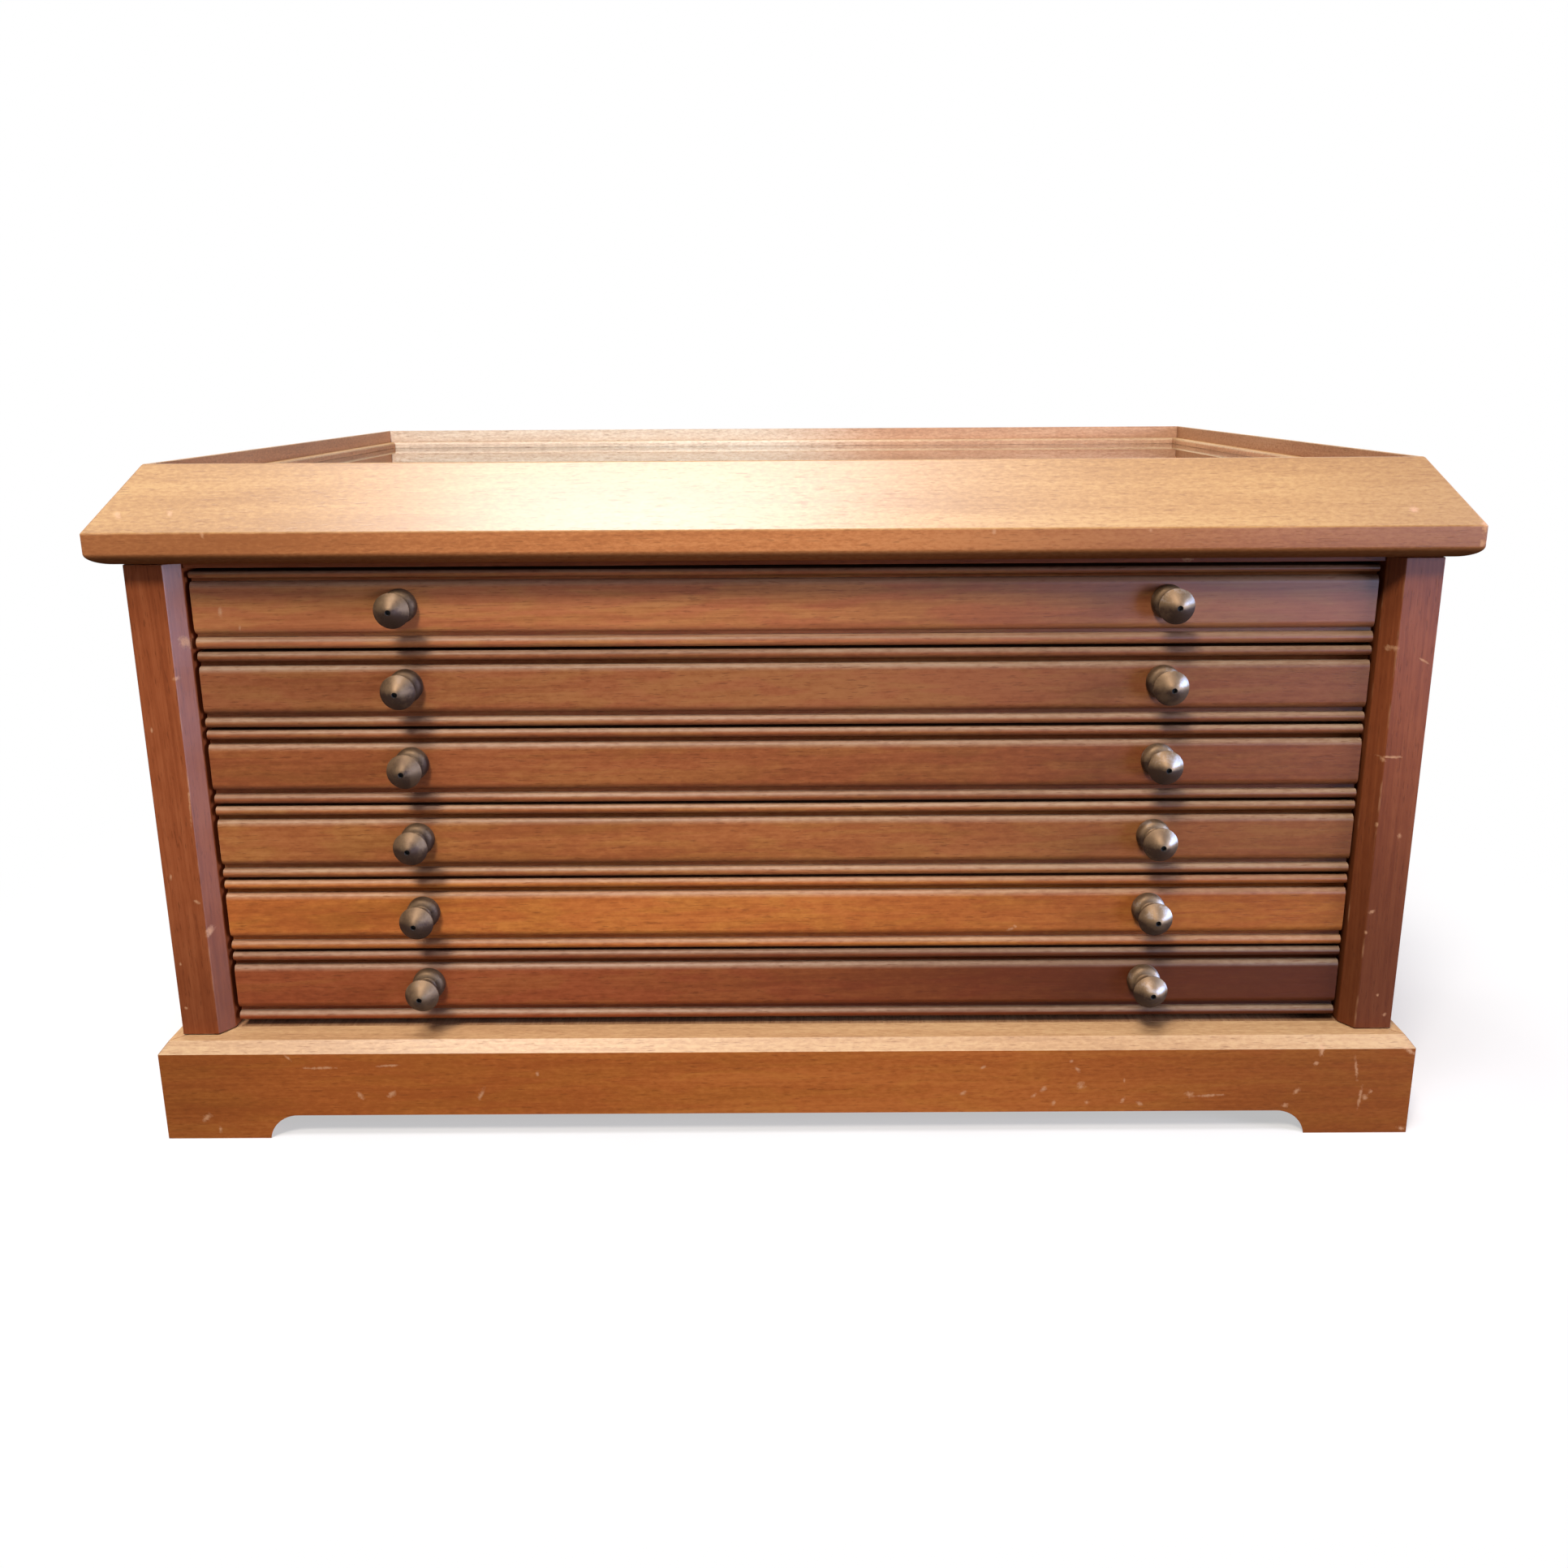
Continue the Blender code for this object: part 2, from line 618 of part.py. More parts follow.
def build_drawer(number, diameter, knob_mesh):
    low = front_bottom(number)
    slide = carrier_empty(f"drawer_{number}_slide", (0, DRAWER_FACE, low + DRAWER_FRONT_HEIGHT / 2))
    front_name = f"drawer_{number}_front"
    front_mesh = outline_mesh(front_name, front_section(), 2 * DRAWER_HALF_WIDTH)
    front = piece(
        front_name, front_mesh, drawer_wood, (0, DRAWER_FACE, low), slide,
        (math.radians(90), 0, TURN_FRONT),
    )
    hole_end = DRAWER_FACE + DRAWER_FRONT_THICKNESS - KNOB_HOLE_FLOOR
    hole_start = DRAWER_FACE - OVERCUT
    knob_height = low + DRAWER_FRONT_HEIGHT / 2 + KNOB_RISE
    face_on = (math.radians(90), 0, 0)
    hole_radius = KNOB_SHANK_DIAMETER / 2 + FIT
    bm = bmesh.new()
    for side in (-1, 1):
        add_cylinder(bm, (side * KNOB_OFFSET, 0, 0), hole_radius, hole_end - hole_start, KNOB_SIDES)
    holes_name = f"drawer_{number}_knob_holes"
    holes = cutter(
        holes_name, mesh_from(holes_name, bm), (0, (hole_start + hole_end) / 2, knob_height), slide, face_on
    )
    combine(front, holes, "DIFFERENCE")
    for label, side in (("left", -1), ("right", 1)):
        seat = (side * KNOB_OFFSET, DRAWER_FACE - FIT, knob_height)
        piece(f"drawer_{number}_knob_{label}", knob_mesh, knob_brass, seat, slide, face_on)
    build_tray(number, slide)
    build_coin_board(number, diameter, slide)


def ovolo_arc():
    """The moulding under the lid's edge, from the underside out to the edge."""
    radii = (LID_OVOLO_WIDTH, LID_OVOLO_HEIGHT)
    return arc(radii, radii, 270, 180, 5)


def lid_section(moulded):
    """Inwards and up from the underside: lower edge, edge, slope, ridge, glass rebate, inner face."""
    lower = ovolo_arc() if moulded else [(0, 0)]
    ledge = GLASS_BOTTOM - FIT - LID_BOTTOM
    return [
        *lower,
        (0, LID_EDGE_HEIGHT),
        (LID_SLOPE_RUN, LID_RAIL_HEIGHT),
        (LID_RIDGE_INNER, LID_RAIL_HEIGHT),
        (LID_RIDGE_INNER, ledge),
        (LID_RAIL_WIDTH, ledge),
        (LID_RAIL_WIDTH, 0),
    ]


def glazing_section():
    """A small bead with a round upper inner edge."""
    half = GLAZING_BEAD / 2
    crown = arc((half, half), (half, half), 90, 0, 3)
    return [(0, 0), (0, GLAZING_BEAD), *crown, (GLAZING_BEAD, 0)]


def leaf_outline(knuckles_outside):
    """A hinge leaf from above, about the back face, with tongues that reach the barrel."""
    half = LEAF_LENGTH / 2
    third = LEAF_LENGTH / 6
    width = BACK_THICKNESS - LEAF_MARGIN
    if knuckles_outside:
        step = third + FIT / 2
        rear = [(half, HINGE_SETBACK), (step, HINGE_SETBACK), (step, 0)]
    else:
        step = third - FIT / 2
        rear = [(half, 0), (step, 0), (step, HINGE_SETBACK)]
    mirrored = [(-x, y) for x, y in reversed(rear)]
    return [(-half, -width), (half, -width), *rear, *mirrored]


def knuckle_spans(knuckles_outside):
    half = LEAF_LENGTH / 2
    third = LEAF_LENGTH / 6
    if knuckles_outside:
        return [(-half, -third - FIT / 2), (third + FIT / 2, half)]
    return [(-third + FIT / 2, third - FIT / 2)]


def build_leaf(name, x, bottom, knuckles_outside, parent):
    """A leaf let into the wood, with its knuckles round the pin."""
    across = (0, math.radians(90), 0)
    mesh = outline_mesh(name, leaf_outline(knuckles_outside), LEAF_THICKNESS)
    leaf = piece(name, mesh, hinge_brass, (x, BACK, bottom + LEAF_THICKNESS / 2), parent)
    axis = (x, HINGE_AXIS[1], HINGE_AXIS[2])
    for index, (low, high) in enumerate(knuckle_spans(knuckles_outside)):
        bm = bmesh.new()
        add_cylinder(bm, (0, 0, (low + high) / 2), BARREL_RADIUS, high - low, BARREL_SIDES)
        knuckle_name = f"{name}_knuckle_{index + 1}"
        combine(leaf, cutter(knuckle_name, mesh_from(knuckle_name, bm), axis, parent, across), "UNION")
    bm = bmesh.new()
    add_cylinder(bm, (0, 0, 0), PIN_RADIUS + FIT, LEAF_LENGTH + 2 * OVERCUT, BARREL_SIDES)
    combine(leaf, cutter(f"{name}_bore", mesh_from(f"{name}_bore", bm), axis, parent, across), "DIFFERENCE")


def cut_mortise(target, name, x, bottom, top, parent):
    """A shallow seat for a leaf, open towards the seam and the back."""
    half = LEAF_LENGTH / 2 + FIT
    width = BACK_THICKNESS - LEAF_MARGIN + FIT
    cut_boxes(target, name, [((x - half, BACK - width, bottom), (x + half, BACK + OVERCUT, top))], parent)


def pin_profile():
    """A round head above the barrel, then the pin down to the barrel's other end."""
    barrel_end = LEAF_LENGTH / 2 + FIT
    head = arc((0, barrel_end), (PIN_HEAD_RADIUS, PIN_HEAD_HEIGHT), 90, 0, 3)
    return [*head, (PIN_RADIUS, barrel_end), (PIN_RADIUS, -barrel_end), (0, -barrel_end)]


def build_hinge(label, side, back_panel, back_rail, lid):
    x = side * HINGE_OFFSET
    cut_mortise(
        back_panel, f"hinge_{label}_panel_mortise", x, CARCASS_TOP - LEAF_THICKNESS - FIT, LID_BOTTOM, None
    )
    cut_mortise(
        back_rail, f"hinge_{label}_lid_mortise", x, CARCASS_TOP, LID_BOTTOM + LEAF_THICKNESS + FIT, lid
    )
    build_leaf(f"hinge_{label}_fixed_leaf", x, CARCASS_TOP - LEAF_THICKNESS, True, None)
    build_leaf(f"hinge_{label}_moving_leaf", x, LID_BOTTOM, False, lid)
    pin_name = f"hinge_{label}_pin"
    pin_mesh = turned_mesh(pin_name, pin_profile(), BARREL_SIDES)
    axis = (x, HINGE_AXIS[1], HINGE_AXIS[2])
    piece(pin_name, pin_mesh, hinge_brass, axis, None, (0, side * math.radians(90), 0))


def build_lid(back_panel):
    lid = carrier_empty("lid_hinge_axis", HINGE_AXIS)
    rails = mitred_frame(
        "lid_rail", lid_section(True), lid_section(False), LID_HALF_WIDTH, LID_FRONT, BACK, LID_BOTTOM,
        lid_wood, lid,
    )
    below = [(-OVERCUT, LID_OVOLO_HEIGHT), (-OVERCUT, -OVERCUT), (LID_OVOLO_WIDTH, -OVERCUT)]
    run_out_moulding(rails["back"], [*below, *ovolo_arc()], LID_HALF_WIDTH, LID_BOTTOM, lid)
    glass_inset = LID_RIDGE_INNER + FIT
    glass_half = LID_HALF_WIDTH - glass_inset
    board(
        "lid_glass",
        (-glass_half, LID_FRONT + glass_inset, GLASS_BOTTOM),
        (glass_half, BACK - glass_inset, GLASS_TOP),
        glass,
        lid,
    )
    bead = glazing_section()
    mitred_frame(
        "glazing_bead", bead, bead, glass_half, LID_FRONT + glass_inset, BACK - glass_inset,
        GLASS_TOP + FIT, lid_wood, lid,
    )
    for label, side in (("left", -1), ("right", 1)):
        build_hinge(label, side, back_panel, rails["back"], lid)


clear_scene()
parts = new_collection("coin_cabinet")
cutters = new_collection("coin_cabinet_cutters")

carcass_wood = finish("carcass_wood", (0.24, 0.065, 0.022), 0.32)
drawer_wood = finish("drawer_wood", (0.27, 0.083, 0.030), 0.35)
lid_wood = finish("lid_wood", (0.38, 0.15, 0.052), 0.28)
plinth_wood = finish("plinth_wood", (0.30, 0.09, 0.026), 0.32)
inner_wood = finish("inner_wood", (0.33, 0.17, 0.08), 0.55)
tray_wood = finish("tray_wood", (0.36, 0.19, 0.09), 0.5)
board_wood = finish("coin_board_wood", (0.21, 0.062, 0.026), 0.45)
felt = finish("felt", (0.16, 0.012, 0.014), 0.95)
glass = finish("glass", (0.86, 0.90, 0.89), 0.03, alpha=0.3)
knob_brass = finish("antique_brass", (0.16, 0.11, 0.065), 0.38, metallic=1.0)
hinge_brass = finish("hinge_brass", (0.55, 0.38, 0.16), 0.35, metallic=1.0)

build_plinth()
build_lid(build_carcass())
knob = turned_mesh("knob", knob_profile(), KNOB_SIDES)
for drawer_index, pocket_diameter in enumerate(POCKET_DIAMETERS):
    build_drawer(drawer_index + 1, pocket_diameter, knob)
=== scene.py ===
"""Looks of a coin cabinet: mahogany mouldings, turned brass knobs, felt and glass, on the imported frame."""

import json
import math

import bpy
from mathutils import Matrix, Vector

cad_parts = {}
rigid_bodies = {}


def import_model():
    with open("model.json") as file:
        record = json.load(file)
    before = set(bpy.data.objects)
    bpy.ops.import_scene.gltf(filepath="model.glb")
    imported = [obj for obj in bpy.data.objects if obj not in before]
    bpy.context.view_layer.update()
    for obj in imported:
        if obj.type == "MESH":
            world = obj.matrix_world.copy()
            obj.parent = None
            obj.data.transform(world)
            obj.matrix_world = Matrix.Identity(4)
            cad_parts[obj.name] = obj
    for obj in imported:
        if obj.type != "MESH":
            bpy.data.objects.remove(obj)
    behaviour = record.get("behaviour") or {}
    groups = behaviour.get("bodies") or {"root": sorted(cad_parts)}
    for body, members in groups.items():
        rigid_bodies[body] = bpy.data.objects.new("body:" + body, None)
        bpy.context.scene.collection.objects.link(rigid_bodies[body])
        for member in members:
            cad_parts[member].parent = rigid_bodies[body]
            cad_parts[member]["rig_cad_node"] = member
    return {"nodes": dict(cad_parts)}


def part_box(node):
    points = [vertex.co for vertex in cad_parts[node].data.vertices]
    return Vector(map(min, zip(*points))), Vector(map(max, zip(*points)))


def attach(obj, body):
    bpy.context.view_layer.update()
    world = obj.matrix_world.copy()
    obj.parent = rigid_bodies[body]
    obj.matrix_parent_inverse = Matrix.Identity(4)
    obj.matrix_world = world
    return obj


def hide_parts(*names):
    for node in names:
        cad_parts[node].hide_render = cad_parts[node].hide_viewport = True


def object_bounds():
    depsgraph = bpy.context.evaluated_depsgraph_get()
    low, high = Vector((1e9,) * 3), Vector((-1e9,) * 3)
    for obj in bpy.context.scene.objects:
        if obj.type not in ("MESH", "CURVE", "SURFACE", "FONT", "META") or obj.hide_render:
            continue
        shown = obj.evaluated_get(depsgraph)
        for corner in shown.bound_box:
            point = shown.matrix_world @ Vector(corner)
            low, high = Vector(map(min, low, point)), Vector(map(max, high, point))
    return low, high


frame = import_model()
cad_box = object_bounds()

X_AXIS = Vector((1, 0, 0))
Y_AXIS = Vector((0, 1, 0))
Z_AXIS = Vector((0, 0, 1))
SIDES = (("left", -1), ("right", 1))
DRAWERS = range(1, 7)
MM_PER_METRE = 1000

# Clearances and softened edges, in metres as everything below.
FIT = 0.0003
MERGE = 0.00001
ARRIS = 0.00035
BOARD_ARRIS = 0.0006
FINE_ARRIS = 0.00015
ARRIS_SLOT = 1

# Size of the plane that is merged to the first point of a line.
START_SIZE = 0.01

# Angles in degrees: edges sharper than the first are rounded, and faces flatter than the second are one.
SHARP_ANGLE = 30
FLAT_ANGLE = 1

# How steeply the fading and painted sheen set in on faces that turn up, and how much a large face weighs in
# the shading.
FADE_AND_SHEEN_STEEPNESS = 2
FACE_WEIGHT = 80

# Steps of the round stretches in mouldings, eased edges and the plinth's arches.
MOULDING_STEPS = 14
EASE_STEPS = 8
ARCH_STEPS = 12

# Lid frame: inwards and up from the outer lower edge.
OVOLO_WIDTH = 0.0078
OVOLO_HEIGHT = 0.0040
LID_EDGE = 0.0101
LID_SLOPE_RUN = 0.0152
LID_RIDGE = 0.0012

# Glazing beads: how far they go down past the frame's own, to the glass, and their finer arris.
BEAD_SEAT = 0.00028
BEAD_ARRIS = 0.00005

# The lid is polished where a face leans up by this much, and has painted shade below, by how far a face
# turns down.
LID_POLISHED_LEAN = 0.5
UNDERSIDE_SHADE = 0.8
UNDERSIDE_SHADE_MOST = 0.5

# Felt in the well: how much of its thickness is rounded.
FELT_ROUND = 0.4
FELT_ROUND_STEPS = 3

# The side mouldings run out past the back rails, over this depth.
RUN_OUT = 0.03

# Corner stiles: the chamfer beside the drawers, how far its faces lean, and its painted shade.
STILE_CHAMFER = 0.0038
STILE_CHAMFER_LEAN = (0.4, 0.95)
CHAMFER_SHADE = {"left": 0.14, "right": 0.0}

# Panels: the softened edges of each.
PANEL_EDGES = {
    "left_side": BOARD_ARRIS,
    "right_side": BOARD_ARRIS,
    "back_panel": ARRIS,
    "top_rail": FINE_ARRIS,
}

# Plinth.
PLINTH_CHAMFER_RUN = 0.0031
PLINTH_CHAMFER_DROP = 0.0039
PLINTH_CHAMFER_LEAN = (0.3, 0.9)
PLINTH_REBATE = 0.006
PLINTH_REBATE_DEPTH = 0.0093
PLINTH_THICKNESS = 0.020
FOOT_WIDTH = 0.0356
ARCH_HEIGHT = 0.0086
ARCH_RADIUS = 0.0100
ARCH_UNDERCUT = 0.009

# Drawer fronts. The first one has a bead and a quirk of its own, above and below.
BEAD = 0.0031
QUIRK = 0.0016
QUIRK_DEPTH = 0.0024
FIELD_ROUND = 0.0022
FIRST_UPPER = (0.0021, 0.0012)
FIRST_LOWER = (0.0037, 0.0013)

# Painted shade on a front's edges, which lean up or down by this much, in the quirks above and below its
# field, and on the upper bead of the first one.
EDGE_LEAN = 0.9
EDGE_SHADE = 0.8
UPPER_QUIRK_SHADE = 0.45
LOWER_QUIRK_SHADE = 0.15
FIRST_BEAD_SHADE = 0.22

# Knobs: radius and distance from the drawer front.
KNOB_HEAD = 0.00565
KNOB_TIP = 0.0009
KNOB_TIP_LIP = 0.0002
KNOB_LENGTH = 0.0150
KNOB_DIMPLE = 0.0012
KNOB_RIM = 0.0109
KNOB_RIM_WIDTH = 0.0012
KNOB_NOSE_BULGE = 1.4
KNOB_NECK = 0.0027
KNOB_NECK_HEIGHT = 0.0050
KNOB_BASE = 0.0055
KNOB_BASE_HEIGHT = 0.0036
KNOB_BASE_EASE = 0.0020
KNOB_SHANK = 0.0020
KNOB_SHANK_LENGTH = 0.0087
KNOB_STEPS = 48
KNOB_NOSE_STEPS = 12
KNOB_RIM_STEPS = 6
KNOB_UNDER_STEPS = 10
KNOB_FLARE_STEPS = 8
KNOB_BASE_STEPS = 4
KNOB_SMOOTH_ANGLE = 40

# A knob has painted shade below and a painted highlight above, between these shares of its radius. Its
# painted light is how strong that highlight is, and how much stronger or weaker it is in a painted glint
# wedge on its right, with its angle and spread in degrees.
KNOB_SHADE_BELOW = -0.12
KNOB_LIGHT_ABOVE = 0.28
KNOB_PAINTED_LIGHT = {"left": (0.40, -0.75), "right": (0.50, 0.80)}
KNOB_GLINT_ANGLE = 20
KNOB_GLINT_SPREAD = 45

# Hinge screws: countersunk, with a slot.
SCREW_HEAD = 0.0017
SCREW_HEAD_DEPTH = 0.0009
SCREW_SHANK = 0.0009
SCREW_SHANK_LENGTH = 0.0055
SCREW_LENGTH = 0.0072
SCREW_SLOT = 0.00045
SCREW_SLOT_DEPTH = 0.0004
SCREW_PLAY = 0.00005
SCREW_SPACING = 0.0133
SCREW_STEPS = 24
SCREW_SMOOTH_ANGLE = 35

# Trays and coin boards.
TRAY_SIDE = 0.0085
TRAY_BACK = 0.008
TRAY_BOTTOM = 0.0032
GROOVE_HEIGHT = 0.0056
GROOVE_DEPTH = 0.0043
POCKET_DIAMETERS = (0.040, 0.040, 0.046, 0.046, 0.054, 0.054)
POCKET_DEPTH = 0.0028
POCKET_WEB = 0.014
POCKET_STEPS = 48

# Camera: where it stands, how it is turned (radians) and its lens on a square frame.
CAMERA_PLACE = (0.0005, -0.6045, 0.2514)
CAMERA_YAW = -0.00175
CAMERA_PITCH = 0.2756
CAMERA_ROLL = -0.0060
CAMERA_LENS_MM = 33.0
SENSOR_MM = 36.0

# Middle tones of the wood, and the pale tones of faces that turn up, partly faded and partly painted sheen:
# ledges, beads and the lid; and the well's pale tone, which is painted light.
LID_WOOD = (0.500, 0.190, 0.064)
POST_WOOD = (0.275, 0.073, 0.024)
# The right post is darker than the left as painted shade.
RIGHT_POST_WOOD = (0.238, 0.063, 0.020)
PLINTH_WOOD = (0.380, 0.109, 0.023)
INNER_WOOD = (0.38, 0.200, 0.098)
COIN_BOARD_WOOD = (0.24, 0.072, 0.030)
DRAWER_WOODS = {
    1: (0.470, 0.150, 0.051),
    2: (0.294, 0.093, 0.033),
    3: (0.300, 0.090, 0.029),
    4: (0.358, 0.116, 0.035),
    5: (0.462, 0.137, 0.030),
    6: (0.260, 0.064, 0.020),
}
LEDGE_WOOD = (0.490, 0.310, 0.152)
BEAD_WOOD = (0.290, 0.214, 0.140)
LID_SLOPE_WOOD = (0.425, 0.235, 0.088)
WELL_LIT_WOOD = (0.680, 0.540, 0.400)
BARE_WOOD = (0.57, 0.31, 0.16)

# How much more of red, green and blue the golden figure of the wood has, how much less its dark tone has
# and how much more its light one. The tones lie at these places in the grain.
GOLDEN = (1.06, 1.34, 1.12)
DARK_DROP = (0.24, 0.30, 0.32)
LIGHT_RISE = (0.22, 0.36, 0.46)
TONE_PLACES = (0.0, 0.5, 1.0)

# Layers of the grain: how far each is drawn out along it, its tilt and its pattern. The mottle's scale is
# each finish's own.
FIBRES = {"stretch": 45, "tilt": 0.012, "scale": 1000, "detail": 4.0, "roughness": 0.6}
BANDS = {"stretch": 18, "tilt": 0.02, "scale": 120, "detail": 2.0, "roughness": 0.5, "distortion": 0.4}
MOTTLE = {"stretch": 2.5, "detail": 3.0, "roughness": 0.6}
CLOUDS = {"stretch": 3, "scale": 14, "detail": 1.0}
PORES = {"stretch": 9, "tilt": 0.012, "scale": 2000, "detail": 2.0, "roughness": 0.5}
FLAMES = {"stretch": 6, "tilt": 0.02, "scale": 210, "detail": 2.0, "roughness": 0.5, "distortion": 0.6}
SCUFFS = {"stretch": 3, "scale": 210, "detail": 3.0}

# Shares of the layers in the tone, and between which values the tone, clouds, pores, flames and scuffs
# show.
BANDS_SHARE = 0.26
CLOUDS_SHARE = 0.20
FIBRES_AND_MOTTLE_SHARE = 0.54
TONE_RANGE = (0.36, 0.64)
CLOUDS_RANGE = (0.3, 0.7)
PORES_RANGE = (0.58, 0.72)
FLAMES_RANGE = (0.42, 0.62)
SCUFFS_RANGE = (0.50, 0.68)

# How dark the painted falloff of light, pores and painted shade are beside the wood's dark tone, and how
# much of the painted shade shows.
FALLOFF_TONE = 0.30
PORE_TONE = 0.45
PAINTED_SHADE_TONE = 0.10
PAINTED_SHADE_SHARE = 0.85

# Polish: how its roughness varies, how much rougher bare wood is, and the painted shade at which the shine
# is gone.
POLISH_SPREAD = (-0.04, 0.05)
BARE_ROUGHNESS = 0.3
DULL_SHADE = 0.45

# Relief of the fibres, with the pores sunk in.
FIBRE_HEIGHT = 0.35
WOOD_BUMP = {"strength": 0.16, "distance": 0.0001}

# Faces of the well that lean inwards by the first of these get painted shade, and by the second painted
# light. The painted light is weaker to the right of the first x, and weakest past the second.
WELL_SHADE_LEAN = 0.7
WELL_LIGHT_LEAN = 0.3
WELL_LIGHT_FROM = -0.02
WELL_LIGHT_TO = 0.06
WELL_LIGHT_LEAST = 0.38
WELL_LIGHT_SIDES = {"front": 0.1, "back": 1.0, "left": 0.1, "right": 0.5}
WELL_SHADE = {"front": 0.10, "back": 0.04, "left": 0.08, "right": 0.32}

# Brass, from its dark to its bright tone, the pale tone of the knobs' painted highlight, and the patterns of
# its patina and spots; the patina clouds the knobs' painted light, and painted shade darkens recesses.
KNOB_BRASS = ((0.029, 0.0116, 0.0044), (0.178, 0.108, 0.055))
KNOB_HIGHLIGHT_TONE = (0.42, 0.40, 0.40)
HINGE_BRASS = ((0.24, 0.16, 0.07), (0.46, 0.33, 0.15))
PATINA = {"scale": 160, "detail": 3.0, "roughness": 0.5}
PATINA_SHARE = 0.75
SPOTS = {"scale": 1700, "detail": 3.0, "roughness": 0.6}
SPOTS_RANGE = (0.3, 0.7)
BRASS_RANGE = (0.34, 0.66)
BRASS_SPREAD = (-0.04, 0.06)
BRASS_SHADE_TONE = 0.1
BRASS_BUMP = {"strength": 0.05, "distance": 0.0001}
KNOB_LIGHT_CLOUDS = 0.35
KNOB_HIGHLIGHT_FROM = 0.55

# Felt, from its dark to its light red, and the patterns of its wool and tufts.
FELT_RED = ((0.10, 0.006, 0.008), (0.22, 0.018, 0.020))
WOOL = {"scale": 1500, "detail": 5.0, "roughness": 0.7, "distortion": 1.5}
WOOL_SHARE = 0.7
TUFTS = {"scale": 160, "detail": 2.0}
FELT_PLACES = (0.3, 0.7)
FELT_BUMP = {"strength": 0.6, "distance": 0.0004}

# Glass: its tint, and the bloom that roughens it a little.
GLASS_TINTS = ((0.3, (0.86, 0.93, 0.90)), (0.7, (0.93, 0.97, 0.95)))
BLOOM = {"scale": 30, "detail": 4.0, "roughness": 0.6}
BLOOM_RANGE = (0.4, 0.8)
BLOOM_ROUGHNESS = 0.003
GLASS_IOR = 1.5

# The floor: its size and tones, what it throws back, its own glow at the cabinet, and how far the shadow
# is kept.
FLOOR_SIZE = 30
FLOOR_TONES = ((0.3, (0.78, 0.78, 0.78)), (0.7, (0.82, 0.82, 0.82)))
FLOOR_CLOUDS = {"scale": 12, "detail": 2.0}
FLOOR_BOUNCE = (0.07, 0.07, 0.07)
FLOOR_GLOW = 0.48
SHADOW_REACH = 0.20

# Light that comes from all round, and the colours of the lamps.
AMBIENT = (0.90, 0.84, 1.0)
AMBIENT_STRENGTH = 0.18
WARM = (1.0, 0.92, 0.82)
NEUTRAL = (0.98, 0.96, 1.0)
DAYLIGHT = (0.83, 0.79, 1.0)
COOL = (0.34, 0.57, 1.0)
WHITE = (1, 1, 1, 1)

# Painted shade where the light falls off: axis, where each starts and where it is strongest, and its
# strength. The first five drawers are darkened at the left and right ends, each with strengths of its own.
LEFT_END = (-0.09, -0.19)
RIGHT_END = (-0.03, 0.16)
END_FALLOFF = {1: (0.20, 0.58), 2: (0.22, 0.42), 3: (0.04, 0.44), 4: (0.10, 0.50), 5: (0.02, 0.34)}
LAST_DRAWER_FALLOFF = (("X", -0.10, 0.18, 0.86),)
LEFT_POST_FALLOFF = (("Z", 0.10, 0.04, 0.30),)
RIGHT_POST_FALLOFF = (("Z", 0.16, 0.05, 0.6),)
LID_FALLOFF = (("X", -0.06, -0.20, 0.36), ("X", 0.00, 0.11, 0.40), ("X", 0.13, 0.21, 0.26))
LID_SLOPE_FALLOFF = (("X", 0.14, 0.21, 0.22),)
PLINTH_FALLOFF = (("X", -0.15, -0.21, 0.34), ("X", 0.06, 0.19, 0.42))

# Old marks: scratches are softened and faint, and chips, which are wider, show more of the bare wood. A
# mark's edge is crumbly and fades between two values.
MARK_SOFTNESS = 2.8
MARK_EDGE = (1.9, 0.9)
CRUMBS = {"scale": 900, "detail": 3.0}
CRUMB_REACH = 1.7
CHIP_WIDTH = 0.7
CHIP_SHARE = 0.95
SCRATCH_SHARE = 0.72

# Marks on the fronts: x, z, half length and half width in millimetres, and turn in degrees.
PLINTH_MARKS = (
    (-158.4, 26.5, 7.5, 0.22, 0), (-169.0, 30.2, 2.4, 0.22, -50), (-145.7, 16.0, 2.0, 0.35, -45),
    (-134.9, 16.6, 2.2, 0.40, 40), (-104.4, 16.4, 2.8, 0.35, 65), (-199.1, 8.0, 2.4, 0.50, 40),
    (-194.9, 3.3, 0.8, 0.50, 0), (-135.7, 27.2, 5.0, 0.20, 2), (-84.8, 23.9, 0.8, 0.40, 0),
    (181.4, 31.2, 1.3, 0.80, 0), (211.1, 30.7, 1.0, 0.90, 60), (193.6, 24.5, 5.2, 0.25, -80),
    (196.0, 13.5, 4.6, 0.28, 86), (197.6, 13.6, 1.6, 0.50, 40), (199.4, 15.6, 1.0, 0.35, 30),
    (179.9, 26.4, 1.4, 0.35, 30), (174.2, 16.0, 2.0, 0.40, 40), (170.6, 10.5, 1.4, 0.40, 30),
    (137.5, 15.0, 1.8, 0.55, -15), (144.0, 14.4, 6.8, 0.22, 3), (100.4, 18.3, 2.0, 0.60, 42),
    (99.0, 24.4, 1.8, 0.30, -50), (87.5, 17.1, 1.6, 0.35, 40), (84.5, 14.7, 1.4, 0.30, 35),
    (91.3, 11.9, 1.2, 0.40, 30), (60.4, 15.8, 1.8, 0.35, 40), (66.7, 25.5, 1.4, 0.25, 35),
    (102.7, 12.1, 1.0, 0.40, 0), (114.9, 12.7, 2.2, 0.30, 50), (120.8, 11.4, 1.8, 0.35, -30),
    (115.0, 20.3, 0.5, 0.40, 0), (96.9, 27.7, 0.9, 0.30, 20), (211.3, 1.6, 1.0, 0.70, 80),
)
